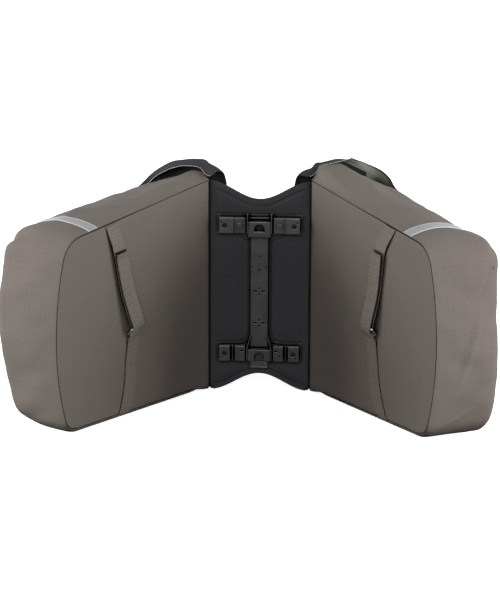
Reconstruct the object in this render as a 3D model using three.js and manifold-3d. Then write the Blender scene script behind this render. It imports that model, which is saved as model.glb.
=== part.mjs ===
// Double pannier bag, standing on its end with the two bags spread like an open book.
// Millimetres, +Z up. The bridge between the bags faces -Y, with the carrier adapter on it,
// and the upright direction here lies along the bicycle when the bag is in use.

import * as THREE from "three";
import { mergeVertices } from "three/addons/utils/BufferGeometryUtils.js";
import Module from "manifold-3d";

const wasm = await Module();
wasm.setup();

// Driving dimensions
const BAG_LENGTH = 352; // end to end beside the bridge
const BAG_DEPTH = 131; // from the inner panel to the outer panel
const BRIDGE_WIDTH = 163;
const SPREAD = THREE.MathUtils.degToRad(51.9); // between the bridge and each inner panel
const CLEARANCE = 0.3; // gap between pieces that touch

// Cloth
const CLOTH = 2; // wall of the gusset, outer panel and lid
const BOARD = 2.5; // the stiffened inner panel
const WEBBING = 1.6;
const TAPE = 0.8; // reflective strip and hem tape

// Seam between the inner panel and the gusset
const SEAM_LIFT = 1.6; // height of the lower seam above the floor
const END_FALL = 0.147; // drop of the upper end for each mm of reach
const FOOT_DRAW = 17; // how far the foot's seam bows out past its corners
const CORNER = 30; // size of the rounded upper foot corner
const LOW_CORNER = 24; // size of the lower one, pressed on the floor
const SEAM_STEPS = 42; // divisions along the seam, a third of them on each side
const PIPING_RADIUS = 1.7;
const PIPING_INSET = 0.8; // of the piping's centre, behind both faces
const SEAM_GAP = PIPING_INSET + PIPING_RADIUS + 0.4; // panel edge and gusset edge stop here

// Form of the standing bag
const ROLL_RADIUS = 28; // of the soft outer edge
const ROLL_END = THREE.MathUtils.degToRad(60); // where the gusset meets the outer panel
const PANEL_ROLL = THREE.MathUtils.degToRad(64);
const CROWN = 6; // swell of the outer panel
const FOOT_PUFF = 7; // swell of the gusset over the foot
const END_PUFF = 2.4; // swell of the gusset over the two ends
const MOUTH_LIFT = 6.5; // lower end lifts off the floor at the mouth, over the lid's skirt
const MOUTH_RUN = 60; // and comes down to the floor within this reach

// How each bag hangs. reach: from the bridge to the foot. lean: how much further the foot's outer edge
// reaches. sagMouth, sagFoot: how far the upper end slumps outwards, at the mouth and at the foot.
// droop: what the mouth's outer edge hangs below that. crest: what stands up behind the inner panel.
const HANG = {
  left: { reach: 346, lean: 14, sagMouth: 16, sagFoot: -3, droop: 6, crest: 11 },
  right: { reach: 327, lean: 4, sagMouth: 13, sagFoot: 8, droop: 16, crest: 10 },
};
const DROOP_RUN = 70; // the droop ends within this reach

// Main dents of the gusset: place along the seam from the lower mouth end (0) to the upper
// mouth end (1), place across the depth (0 to 1), the dent's half widths, and how far it goes in
const DENTS = {
  left: [
    { along: 0.62, across: 0.62, halfAlong: 0.05, halfAcross: 0.4, depth: 3 },
    { along: 0.42, across: 0.7, halfAlong: 0.05, halfAcross: 0.35, depth: 4 },
  ],
  right: [
    { along: 0.66, across: 0.85, halfAlong: 0.04, halfAcross: 0.3, depth: 4 },
    { along: 0.45, across: 0.45, halfAlong: 0.06, halfAcross: 0.25, depth: 3 },
  ],
};

// Bridge
const BRIDGE_THICKNESS = 5;
const BRIDGE_SCOOP = 29; // how far both ends are cut away in the middle
const BRIDGE_LOW = 1;
const HEM_WIDTH = 10;
const HEM_INSET = 6; // from the hinge seams to the ends of the hem tapes

// A place on the lid's outer face behind the bridge, x across from the hinge line, in the bag's u and v
function behindBridge(x, lift) {
  const y = BRIDGE_THICKNESS + CLEARANCE + CLOTH + lift;
  return {
    u: x * Math.cos(SPREAD) - y * Math.sin(SPREAD),
    v: x * Math.sin(SPREAD) + y * Math.cos(SPREAD),
  };
}

// Lid: its route round the mouth, seen from the bag's upper end. u runs from the bridge to the
// foot, v from the inner panel outwards. rise is the upper fold's height over the bag's length.
const FLAP_OVER = BAG_DEPTH + CROWN + CLOTH + 1;
const LID_ROUTE = [
  { at: "root", ...behindBridge(-26, 0), low: 12, skirt: 5, tuck: 0 },
  { at: "lap", ...behindBridge(-12, 0.1), low: 9, skirt: 6, tuck: 0 },
  { at: "hinge", ...behindBridge(-1, 1.2), low: 8, skirt: 7, tuck: 0 },
  { at: "inner", u: -13, v: 27, low: 1.4, skirt: 20, tuck: 90 },
  { at: "middle", u: -16, v: 58, low: 1.4, skirt: 20, tuck: 90 },
  { at: "outer", u: -14, v: 92, low: 1.4, skirt: 20, tuck: 90 },
  { at: "shoulder", u: -5, v: BAG_DEPTH + 3, low: 1.6, skirt: 12, tuck: 90 },
  { at: "flap", u: 28, v: FLAP_OVER, low: 9, skirt: 6, tuck: 88 },
  { at: "hem", u: 96, v: FLAP_OVER, low: 12, skirt: 5, tuck: 88 },
];
const LID_FLOOR = 0.4; // the lid stays this far off the floor
// skirt is the width of the folded end, tuck the angle in degrees by which it folds to the bag
const LID_ENDS = {
  left: [
    { at: "root", rise: -4, skirt: 5, tuck: 0 },
    { at: "lap", rise: 7, skirt: 7, tuck: 0 },
    { at: "hinge", rise: 26, skirt: 19, tuck: 84 },
    { at: "inner", rise: 30, skirt: 22, tuck: 92 },
    { at: "middle", rise: 24, skirt: 22, tuck: 96 },
    { at: "outer", rise: 11, skirt: 22, tuck: 98 },
    { at: "shoulder", rise: -12, skirt: 16, tuck: 92 },
    { at: "flap", rise: -26, skirt: 6, tuck: 88 },
    { at: "hem", rise: -38, skirt: 5, tuck: 88 },
  ],
  right: [
    { at: "root", rise: -4, skirt: 5, tuck: 0 },
    { at: "lap", rise: 7, skirt: 7, tuck: 0 },
    { at: "hinge", rise: 23, skirt: 19, tuck: 82 },
    { at: "inner", rise: 25, skirt: 21, tuck: 74 },
    { at: "middle", rise: 12, skirt: 22, tuck: 30 },
    { at: "outer", rise: 7, skirt: 22, tuck: 8 },
    { at: "shoulder", rise: -10, skirt: 18, tuck: 14 },
    { at: "flap", rise: -23, skirt: 10, tuck: 40 },
    { at: "hem", rise: -40, skirt: 6, tuck: 80 },
  ],
};
const LID_STEPS = 22;
const FOLD_RADIUS = 4;
const FOLD_STEP = 0.8 * FOLD_RADIUS;

// Reflective strip across the upper end
const STRIP = { from: 0.735, width: 18, columns: 2 }; // from is a share of the reach

// Straps on the inner panel. The upper one hangs from the upper seam at topU to the ring's upper bar at
// ringU, off the panel by out there and by belly at its free end. The sewn one starts at the lower seam.
const STRAP_WIDTH = 25;
const STRAPS = {
  left: { topU: 214, ringU: 181, out: 15, belly: 6, sewn: [[201, 11], [191, 36], [186, 66], [184, 96]] },
  right: { topU: 206, ringU: 167, out: 13, belly: 11, sewn: [[198, 12], [180, 36], [171, 66], [168, 96]] },
};
const STRAP_TOP = 314; // heights above the floor
const STRAP_FREE_END = 270;
const STRAP_BAR = 148;
const RING = { width: 29.5, height: 14.5, wire: 1.4, corner: 2.2, sides: 6 };
const RING_LOW_OFF = 4; // of the ring's lower bar from the panel

// Carrier adapter: x is across the bridge, y up it, and heights stand off the bridge
const PLATE_HALF_WIDTH = 65;
const BAR_HEIGHT = 25;
const UPPER_BAR = 281.5; // middle of each cross bar
const LOWER_BAR = 66.5;
const BEAM_HALF_WIDTH = 13.8;
const BACKING_THICKNESS = 3;
const BACKING_MARGIN = 4.5;
const PLATE_FOOT = BACKING_THICKNESS + 2 * CLEARANCE; // the adapter starts here
const PLATE_BASE = 8; // top of the thin base
const PLATE_TOP = 14.5; // top of the raised blocks
const BEAM_TOP = 11;
const SCREW_X = 56;
const ARCH = { halfWidth: 8.5, straight: 4.5 }; // round-headed window for the carrier's latch
const TONGUE_HALF_WIDTH = 7.6;
const TONGUE_STRAIGHT = 12;
const TAB = { halfWidth: 14, low: 41.5, high: 51, lip: 2.2 };

// Finishes
const FINISH = {
  taupe: { color: 0x6b645d, roughness: 0.9, metalness: 0 },
  black: { color: 0x1f1f21, roughness: 0.88, metalness: 0 },
  plastic: { color: 0x3a3a3b, roughness: 0.55, metalness: 0 },
  backing: { color: 0x1b1b1c, roughness: 0.6, metalness: 0 },
  tongue: { color: 0x3d3f47, roughness: 0.5, metalness: 0 },
  steel: { color: 0xb9b9b7, roughness: 0.3, metalness: 1 },
  reflective: { color: 0xb4babf, roughness: 0.4, metalness: 0.1 },
};

const { clamp, lerp, smoothstep, degToRad } = THREE.MathUtils;
const point = (u, v, z) => new THREE.Vector3(u, v, z);

// A named piece with its own material
function piece(name, geometry, finish) {
  const mesh = new THREE.Mesh(geometry, new THREE.MeshStandardMaterial(FINISH[finish]));
  mesh.name = name;
  return mesh;
}

// An indexed geometry from points and triangles
function geometryFrom(points, triangles) {
  const geometry = new THREE.BufferGeometry().setFromPoints(points);
  geometry.setIndex(triangles.flat());
  return geometry;
}

// Boolean solids, to join and cut
function solid(geometry) {
  const bare = geometry.clone();
  bare.deleteAttribute("normal");
  bare.deleteAttribute("uv");
  const merged = mergeVertices(bare, 1e-4);
  return new wasm.Manifold(
    new wasm.Mesh({
      numProp: 3,
      vertProperties: merged.attributes.position.array,
      triVerts: new Uint32Array(merged.index.array),
    }),
  );
}

function geometryOf(manifold) {
  const mesh = manifold.getMesh();
  const geometry = new THREE.BufferGeometry();
  geometry.setAttribute("position", new THREE.BufferAttribute(mesh.vertProperties, 3));
  geometry.setIndex(new THREE.BufferAttribute(mesh.triVerts, 1));
  return geometry;
}

const joined = (solids) => solids.reduce((all, one) => all.add(one));

// A closed wall over a grid of outer points. The outer face looks along d/drow x d/dcolumn, and the
// inner face is the same grid moved back by the thickness.
function wall(rows, columns, outer, thickness) {
  const face = [];
  for (let i = 0; i <= rows; i++) for (let j = 0; j <= columns; j++) face.push(outer(i, j));
  const width = columns + 1;
  const at = (i, j) => face[clamp(i, 0, rows) * width + clamp(j, 0, columns)];
  const back = face.map((p, n) => {
    const i = Math.floor(n / width);
    const j = n % width;
    const along = at(i + 1, j).clone().sub(at(i - 1, j));
    const across = at(i, j + 1).clone().sub(at(i, j - 1));
    return p.clone().addScaledVector(along.cross(across).normalize(), -thickness);
  });
  const size = face.length;
  const triangles = [];
  const quad = (a, b, c, d) => triangles.push([a, b, c], [a, c, d]);
  for (let i = 0; i < rows; i++)
    for (let j = 0; j < columns; j++) {
      const [a, b, c, d] = [i * width + j, (i + 1) * width + j, (i + 1) * width + j + 1, i * width + j + 1];
      quad(a, b, c, d);
      quad(a + size, d + size, c + size, b + size);
    }
  const rim = [];
  for (let i = 0; i < rows; i++) rim.push(i * width);
  for (let j = 0; j < columns; j++) rim.push(rows * width + j);
  for (let i = rows; i > 0; i--) rim.push(i * width + columns);
  for (let j = columns; j > 0; j--) rim.push(j);
  rim.forEach((a, n) => {
    const b = rim[(n + 1) % rim.length];
    quad(a, a + size, b + size, b);
  });
  return geometryFrom([...face, ...back], triangles);
}

// A flat band swept through stations, each with its centre and the direction across the band
function band(stations, width, thickness) {
  const points = [];
  stations.forEach(({ centre, across }, n) => {
    const next = stations[Math.min(n + 1, stations.length - 1)].centre;
    const last = stations[Math.max(n - 1, 0)].centre;
    const side = across.clone().normalize().multiplyScalar(width / 2);
    const up = next.clone().sub(last).cross(across).normalize().multiplyScalar(thickness / 2);
    for (const [s, t] of [[1, 1], [-1, 1], [-1, -1], [1, -1]])
      points.push(centre.clone().addScaledVector(side, s).addScaledVector(up, t));
  });
  const triangles = [[0, 2, 1], [0, 3, 2]];
  for (let n = 0; n < stations.length - 1; n++)
    for (let k = 0; k < 4; k++) {
      const [a, b] = [4 * n + k, 4 * n + ((k + 1) % 4)];
      triangles.push([a, b, b + 4], [a, b + 4, a + 4]);
    }
  const e = 4 * (stations.length - 1);
  triangles.push([e, e + 1, e + 2], [e, e + 2, e + 3]);
  return geometryFrom(points, triangles);
}

// A round wire bent into a closed loop in the plane of x and z
function wireLoop(path, steps, radius, sides) {
  const centres = path.getSpacedPoints(steps).slice(0, steps);
  const points = [];
  centres.forEach((c, n) => {
    const ahead = centres[(n + 1) % steps];
    const behind = centres[(n + steps - 1) % steps];
    const tangent = ahead.clone().sub(behind).normalize();
    for (let k = 0; k < sides; k++) {
      const angle = (2 * Math.PI * k) / sides;
      const out = radius * Math.cos(angle);
      points.push(point(c.x + tangent.y * out, radius * Math.sin(angle), c.y - tangent.x * out));
    }
  });
  const triangles = [];
  for (let n = 0; n < steps; n++)
    for (let k = 0; k < sides; k++) {
      const [a, b] = [n * sides + k, n * sides + ((k + 1) % sides)];
      const [c, d] = [((n + 1) % steps) * sides + k, ((n + 1) % steps) * sides + ((k + 1) % sides)];
      triangles.push([a, b, d], [a, d, c]);
    }
  return geometryFrom(points, triangles);
}

function roundedRectangle(halfWidth, halfHeight, radius) {
  const path = new THREE.Path();
  const [x, y, r] = [halfWidth, halfHeight, radius];
  path.moveTo(-x + r, -y);
  path.lineTo(x - r, -y);
  path.absarc(x - r, -y + r, r, -Math.PI / 2, 0);
  path.lineTo(x, y - r);
  path.absarc(x - r, y - r, r, 0, Math.PI / 2);
  path.lineTo(-x + r, y);
  path.absarc(-x + r, y - r, r, Math.PI / 2, Math.PI);
  path.lineTo(-x, -y + r);
  path.absarc(-x + r, -y + r, r, Math.PI, 1.5 * Math.PI);
  return path;
}

// Bag outline, in the plane of the inner panel: x is u, y is the height
const endAt = (u) => BAG_LENGTH - END_FALL * u;

function seamPath(side) {
  const { reach } = HANG[side];
  const lowerFoot = new THREE.Vector2(reach - FOOT_DRAW, SEAM_LIFT + LOW_CORNER);
  const upperFoot = new THREE.Vector2(reach - FOOT_DRAW, endAt(reach - FOOT_DRAW) - CORNER);
  const bow = new THREE.Vector2(reach + FOOT_DRAW, (lowerFoot.y + upperFoot.y) / 2);
  // The corners turn about the points where the foot's tangents meet the two ends
  const lean = (bow.x - lowerFoot.x) / (bow.y - lowerFoot.y);
  const lowerTurn = lowerFoot.x - lean * LOW_CORNER;
  const rise = CORNER / (1 - END_FALL * lean);
  const upperTurn = upperFoot.x - lean * rise;
  const path = new THREE.Path();
  path.moveTo(0, SEAM_LIFT);
  path.lineTo(lowerTurn - LOW_CORNER, SEAM_LIFT);
  path.quadraticCurveTo(lowerTurn, SEAM_LIFT, lowerFoot.x, lowerFoot.y);
  path.quadraticCurveTo(bow.x, bow.y, upperFoot.x, upperFoot.y);
  path.quadraticCurveTo(upperTurn, endAt(upperTurn), upperTurn - CORNER, endAt(upperTurn - CORNER));
  path.lineTo(0, BAG_LENGTH);
  return path;
}

// Stations along the seam, each with its place, its share of the way and its outward normal
function seamStations(side, steps) {
  const points = seamPath(side).getSpacedPoints(steps);
  return points.map((p, n) => {
    const ahead = points[Math.min(n + 1, steps)];
    const behind = points[Math.max(n - 1, 0)];
    const way = ahead.clone().sub(behind).normalize();
    return { u: p.x, z: p.y, share: n / steps, outU: way.y, outZ: -way.x };
  });
}

const SEAM = { left: seamStations("left", SEAM_STEPS), right: seamStations("right", SEAM_STEPS) };

// A seam point moved inwards in its own plane
function inset({ u, z, outU, outZ }, amount) {
  return { u: Math.max(0, u - outU * amount), z: z - outZ * amount };
}

// The gusset's outer face: a station of the seam, carried out to a depth, where roll is the angle
// by which the soft outer edge has turned in. The two ends slump and puff, and the floor flattens them.
function gussetPoint(station, depth, roll, side) {
  const { reach, lean, sagMouth, sagFoot, droop, crest } = HANG[side];
  const v = roll > 0 ? BAG_DEPTH - ROLL_RADIUS + ROLL_RADIUS * Math.sin(roll) : depth;
  const share = v / BAG_DEPTH;
  const arch = Math.sin(Math.PI * clamp(share, 0, 1));
  const turnedIn = ROLL_RADIUS * (1 - Math.cos(roll));
  const endwise = Math.abs(station.outZ);
  let out = lerp(FOOT_PUFF, END_PUFF, endwise) * arch - turnedIn;
  for (const dent of DENTS[side]) {
    const a = (station.share - dent.along) / dent.halfAlong;
    const b = (share - dent.across) / dent.halfAcross;
    out -= dent.depth * Math.exp(-a * a - b * b);
  }
  const upper = Math.max(0, station.outZ);
  const toFoot = clamp(station.u / reach, 0, 1);
  const drooping = droop * (1 - smoothstep(station.u, 0, DROOP_RUN));
  const sag = (lerp(sagMouth, sagFoot, toFoot) + drooping) * share * share;
  const ridge = crest * (1 - smoothstep(toFoot, 0, 0.5)) * Math.sin(Math.PI * Math.min(1, 2 * share));
  const leaning = lean * share * toFoot * Math.min(1, station.z / (0.6 * BAG_LENGTH));
  const u = Math.max(0, station.u + station.outU * out + leaning);
  const z = station.z + station.outZ * out + upper * (ridge - sag);
  const floor = MOUTH_LIFT * (1 - smoothstep(station.u, 0, MOUTH_RUN));
  return point(u, v, Math.max(z, floor));
}

// Rows across the gusset, from the seam to the outer panel
const GUSSET_ROWS = [
  { depth: SEAM_GAP, roll: 0 },
  { depth: 20, roll: 0 },
  { depth: 45, roll: 0 },
  { depth: 72, roll: 0 },
  { depth: BAG_DEPTH - ROLL_RADIUS, roll: 0 },
  { depth: 0, roll: ROLL_END / 2 },
  { depth: 0, roll: ROLL_END },
];

function gusset(side) {
  const outer = (i, j) => gussetPoint(SEAM[side][j], GUSSET_ROWS[i].depth, GUSSET_ROWS[i].roll, side);
  return wall(GUSSET_ROWS.length - 1, SEAM_STEPS, outer, CLOTH);
}

// The stiffened inner panel, a flat board inside the seam
function innerPanel(side) {
  const shape = new THREE.Shape(
    SEAM[side].map((station) => {
      const { u, z } = inset(station, SEAM_GAP);
      return new THREE.Vector2(u, z);
    }),
  );
  const board = new THREE.ExtrudeGeometry(shape, { depth: BOARD, bevelEnabled: false });
  return board.rotateX(Math.PI / 2).translate(0, BOARD, 0);
}

// The outer panel: a patch stretched between the rolled edges of the gusset, swelling outwards
function outerPanel(side) {
  const n = SEAM_STEPS / 3;
  const edge = (k) => gussetPoint(SEAM[side][k], 0, PANEL_ROLL, side);
  const mouth = (q) => edge(0).lerp(edge(SEAM_STEPS), q);
  const corners = [edge(0), edge(n), edge(SEAM_STEPS), edge(2 * n)];
  return wall(
    n,
    n,
    (i, j) => {
      const [q, p] = [i / n, j / n];
      const ends = edge(j).lerp(edge(SEAM_STEPS - j), q);
      const sides = mouth(q).lerp(edge(n + i), p);
      const lower = corners[0].clone().lerp(corners[1], p);
      const upper = corners[2].clone().lerp(corners[3], p);
      const at = ends.add(sides).sub(lower.lerp(upper, q));
      const swell = (1 - (2 * q - 1) ** 4) * (1 - p ** 4);
      at.y = lerp(at.y, BAG_DEPTH + CROWN * Math.sin(Math.PI * p), swell);
      return at;
    },
    CLOTH,
  );
}

// Piping in the corner between the inner panel and the gusset
function piping(side) {
  const line = SEAM[side].map((station) => {
    const { u, z } = inset(station, PIPING_INSET);
    return point(u, PIPING_INSET, z);
  });
  const section = new THREE.Shape();
  section.absarc(0, 0, PIPING_RADIUS, 0, 2 * Math.PI);
  return new THREE.ExtrudeGeometry(section, {
    extrudePath: new THREE.CatmullRomCurve3(line),
    steps: SEAM_STEPS,
    curveSegments: 3,
    bevelEnabled: false,
  });
}

// The lid: one sheet from the bridge, over the mouth and down the outer panel, whose two ends are
// folded into skirts. Each row is a section of the sheet, from the lower skirt to the upper one.
function lid(side) {
  const curve = (rows, place) => new THREE.CatmullRomCurve3(rows.map(place));
  const route = curve(LID_ROUTE, ({ u, v }) => point(u, v, 0));
  const lower = curve(LID_ROUTE, ({ low, skirt, tuck }) => point(low, skirt, tuck));
  const upper = curve(LID_ENDS[side], ({ rise, skirt, tuck }) => point(BAG_LENGTH + rise, skirt, tuck));
  const plain = [0.2, 0.4, 0.6, 0.8];
  const section = (t) => {
    const at = route.getPoint(t);
    const way = route.getTangent(t);
    const inward = point(way.y, -way.x, 0);
    const place = (toBag, z) => at.clone().addScaledVector(inward, toBag).setZ(Math.max(z, LID_FLOOR));
    // A folded end: the bend in two steps, then the skirt beyond it, where up is +1 or -1
    const foldedEnd = (end, up) => {
      const { x: z, y: skirt, z: tuck } = end;
      const turn = degToRad(tuck);
      const strides = [
        { length: FOLD_STEP, share: 0.25 },
        { length: FOLD_STEP, share: 0.75 },
        { length: Math.max(1, skirt - FOLD_STEP), share: 1 },
      ];
      let [toBag, beyond] = [0, -FOLD_RADIUS];
      const columns = [place(toBag, z + up * beyond)];
      for (const { length, share } of strides) {
        toBag += length * Math.sin(share * turn);
        beyond += length * Math.cos(share * turn);
        columns.push(place(toBag, z + up * beyond));
      }
      return columns;
    };
    const low = lower.getPoint(t);
    const high = upper.getPoint(t);
    const middle = plain.map((share) => place(0, lerp(low.x + FOLD_RADIUS, high.x - FOLD_RADIUS, share)));
    return [...foldedEnd(low, -1).reverse(), ...middle, ...foldedEnd(high, 1)];
  };
  const rows = Array.from({ length: LID_STEPS + 1 }, (_, i) => section(i / LID_STEPS));
  return wall(rows[0].length - 1, LID_STEPS, (i, j) => rows[j][i], CLOTH);
}

// A strip laid over the gusset's upper end
function reflectiveStrip(side) {
  const { reach } = HANG[side];
  const total = seamPath(side).getLength();
  const stationAt = (u) => {
    const share = 1 - Math.hypot(u, END_FALL * u) / total;
    const lean = Math.hypot(1, END_FALL);
    return { u, z: endAt(u), share, outU: END_FALL / lean, outZ: 1 / lean };
  };
  // The strip bends where the gusset does, up to the middle of its rolled edge
  const rows = GUSSET_ROWS.slice(0, -1);
  const lift = point(0, 0, TAPE + 1.5 * CLEARANCE);
  return wall(
    rows.length - 1,
    STRIP.columns,
    (i, j) => {
      const station = stationAt(STRIP.from * reach + STRIP.width * (1 - j / STRIP.columns));
      return gussetPoint(station, rows[i].depth, rows[i].roll, side).add(lift);
    },
    TAPE,
  );
}

// Places of the straps of one side: stations s up from the ring's upper bar, off the panel by off
const flatOff = WEBBING / 2 + CLEARANCE;
const loopRadius = RING.wire + CLEARANCE + WEBBING / 2;

function strapLine(side) {
  const { topU, ringU, out } = STRAPS[side];
  const lean = Math.atan2(topU - ringU, STRAP_TOP - STRAP_BAR);
  const way = point(Math.sin(lean), 0, Math.cos(lean));
  const across = point(Math.cos(lean), 0, -Math.sin(lean));
  const tilt = Math.asin((out - RING_LOW_OFF) / RING.height);
  return {
    lean,
    tilt,
    lowBar: -RING.height * Math.cos(tilt),
    upTo: (z) => (z - STRAP_BAR) / way.z,
    at: (s, off) => ({ centre: point(ringU, 0, STRAP_BAR).addScaledVector(way, s).setY(-off), across }),
  };
}

// Half a turn of webbing round a bar of the ring, on the upper or lower side of it
function barTurn(at, bar, up, off, start) {
  const steps = 6;
  return Array.from({ length: steps + 1 }, (_, k) => {
    const angle = (Math.PI * k) / steps;
    return at(bar + up * loopRadius * Math.sin(angle), off + start * loopRadius * Math.cos(angle));
  });
}

// Webbing strap: sewn in at the upper seam, down to the ring, round its upper bar and back up
function strap(side) {
  const { out, belly } = STRAPS[side];
  const { at, upTo } = strapLine(side);
  const [top, free] = [upTo(STRAP_TOP), upTo(STRAP_FREE_END)];
  const hang = new THREE.CatmullRomCurve3([
    point(top, flatOff, 0),
    point(lerp(free, top, 0.6), 0.6 * belly, 0),
    point(free, belly, 0),
    point(free / 2, lerp(belly, out - loopRadius, 0.6), 0),
    point(4, out - loopRadius, 0),
  ]);
  const steps = 9;
  const down = Array.from({ length: steps + 1 }, (_, k) => {
    const { x, y } = hang.getPoint(k / steps);
    return at(x, y);
  });
  const layer = WEBBING + 2 * CLEARANCE;
  const up = [0.08, 0.3, 0.5, 0.75, 1].map((share) => {
    const behind = hang.getPoint(1 - share / 2).y;
    return at(share * free, behind + lerp(2 * loopRadius, layer, share));
  });
  return band([...down, ...barTurn(at, 0, -1, out, -1), ...up], STRAP_WIDTH, WEBBING);
}

// Lower strap: sewn flat on the panel, over the ring's lower bar and back under itself
function strapAnchor(side) {
  const { at, lowBar } = strapLine(side);
  const line = new THREE.CatmullRomCurve3(STRAPS[side].sewn.map(([u, z]) => point(u, -flatOff, z)));
  const steps = 8;
  const sewn = Array.from({ length: steps + 1 }, (_, k) => {
    const way = line.getTangent(k / steps);
    return { centre: line.getPoint(k / steps), across: point(way.z, 0, -way.x) };
  });
  const { centre: bar, across } = at(lowBar, RING_LOW_OFF);
  const below = (drop, off) => ({ centre: point(bar.x, -off, bar.z - drop), across });
  const front = RING_LOW_OFF + loopRadius;
  const back = RING_LOW_OFF - loopRadius;
  const rise = [below(20, 0.55 * front), below(6, front)];
  const tail = [below(6, back), below(12, flatOff)];
  const turn = barTurn(at, lowBar, 1, RING_LOW_OFF, 1);
  return band([...sewn, ...rise, ...turn, ...tail], STRAP_WIDTH, WEBBING);
}

// Wire ring between the two straps, standing out from the panel
function strapRing(side) {
  const { at, lean, tilt, lowBar } = strapLine(side);
  const path = roundedRectangle(RING.width / 2, RING.height / 2, RING.corner);
  const { centre } = at(lowBar / 2, (STRAPS[side].out + RING_LOW_OFF) / 2);
  const loop = wireLoop(path, 28, RING.wire, RING.sides);
  return loop.rotateX(tilt).rotateY(lean).translate(centre.x, centre.y, centre.z);
}

function makeBag(side) {
  const bag = new THREE.Group();
  bag.add(
    piece(`${side}_inner_panel`, innerPanel(side), "taupe"),
    piece(`${side}_gusset`, gusset(side), "taupe"),
    piece(`${side}_outer_panel`, outerPanel(side), "taupe"),
    piece(`${side}_piping`, piping(side), "taupe"),
    piece(`${side}_lid`, lid(side), "black"),
    piece(`${side}_reflective_strip`, reflectiveStrip(side), "reflective"),
    piece(`${side}_strap`, strap(side), "taupe"),
    piece(`${side}_strap_anchor`, strapAnchor(side), "taupe"),
    piece(`${side}_strap_ring`, strapRing(side), "steel"),
  );
  bag.position.x = BRIDGE_WIDTH / 2;
  bag.rotation.z = -SPREAD;
  return bag;
}

// Bridge outline: both ends are scooped out by one wave of a cosine
const scoop = (x) => (BRIDGE_SCOOP * (1 + Math.cos((2 * Math.PI * x) / BRIDGE_WIDTH))) / 2;
const bridgeEnd = (x, upper) => (upper ? BAG_LENGTH - scoop(x) : BRIDGE_LOW + scoop(x));

function bridgePanel() {
  const half = BRIDGE_WIDTH / 2 - CLEARANCE;
  const steps = 20;
  const xs = Array.from({ length: steps + 1 }, (_, n) => lerp(-half, half, n / steps));
  const outline = [
    ...xs.map((x) => new THREE.Vector2(x, bridgeEnd(x, false))),
    ...xs.reverse().map((x) => new THREE.Vector2(x, bridgeEnd(x, true))),
  ];
  const shape = new THREE.Shape(outline);
  const slab = new THREE.ExtrudeGeometry(shape, { depth: BRIDGE_THICKNESS, bevelEnabled: false });
  return slab.translate(0, 0, -BRIDGE_THICKNESS);
}

// Tape along one scooped end of the bridge
function bridgeHem(upper) {
  const half = BRIDGE_WIDTH / 2 - HEM_INSET;
  const steps = 20;
  return wall(
    steps,
    1,
    (i, j) => {
      const x = lerp(-half, half, i / steps);
      const across = upper ? j - 1 : j;
      return point(x, bridgeEnd(x, upper) + HEM_WIDTH * across, TAPE + CLEARANCE);
    },
    TAPE,
  );
}

// A block between two corners, from one height to another
function block(x0, y0, x1, y1, low, high) {
  const box = new THREE.BoxGeometry(x1 - x0, y1 - y0, high - low);
  return solid(box.translate((x0 + x1) / 2, (y0 + y1) / 2, (low + high) / 2));
}

function drum(x, y, radius, low, high, sides = 6) {
  const cylinder = new THREE.CylinderGeometry(radius, radius, high - low, sides);
  return solid(cylinder.rotateX(Math.PI / 2).translate(x, y, (low + high) / 2));
}

// A window with a flat foot and a round head
function archSolid(halfWidth, foot, straight, low, high) {
  const shape = new THREE.Shape();
  shape.moveTo(-halfWidth, foot);
  shape.lineTo(halfWidth, foot);
  shape.lineTo(halfWidth, foot + straight);
  shape.absarc(0, foot + straight, halfWidth, 0, Math.PI);
  const depth = high - low;
  const arch = new THREE.ExtrudeGeometry(shape, { depth, curveSegments: 6, bevelEnabled: false });
  return solid(arch.translate(0, 0, low));
}

// An I of two cross bars on a beam, with flared necks, grown by a margin all round
function crossBeam(margin, low, high) {
  const [w, b, h] = [PLATE_HALF_WIDTH + margin, BEAM_HALF_WIDTH + margin, BAR_HEIGHT / 2 + margin];
  const neck = 6;
  const flare = 20;
  const right = [
    [w, LOWER_BAR - h],
    [w, LOWER_BAR + h],
    [b + flare, LOWER_BAR + h],
    [b + 0.3 * flare, LOWER_BAR + h + 0.5 * neck],
    [b, LOWER_BAR + h + 2.5 * neck],
    [b, UPPER_BAR - h - 1.5 * neck],
    [b + 0.3 * flare, UPPER_BAR - h - neck],
    [b + flare, UPPER_BAR - h],
    [w, UPPER_BAR - h],
    [w, UPPER_BAR + h],
  ];
  const left = right.map(([x, y]) => [-x, y]).reverse();
  const shape = new THREE.Shape([...right, ...left].map(([x, y]) => new THREE.Vector2(x, y)));
  const slab = new THREE.ExtrudeGeometry(shape, { depth: high - low, bevelEnabled: false });
  return solid(slab.translate(0, 0, low));
}

const archFoot = UPPER_BAR - 10;
const tongueRoot = LOWER_BAR - BAR_HEIGHT / 2;

function backingPlate() {
  const plate = crossBeam(BACKING_MARGIN, CLEARANCE, CLEARANCE + BACKING_THICKNESS);
  const window = archSolid(ARCH.halfWidth, archFoot, ARCH.straight, -1, PLATE_TOP);
  const relief = block(-TAB.halfWidth - 1, 0, TAB.halfWidth + 1, TAB.high + 1, -1, PLATE_TOP);
  return geometryOf(plate.subtract(window).subtract(relief));
}

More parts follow.
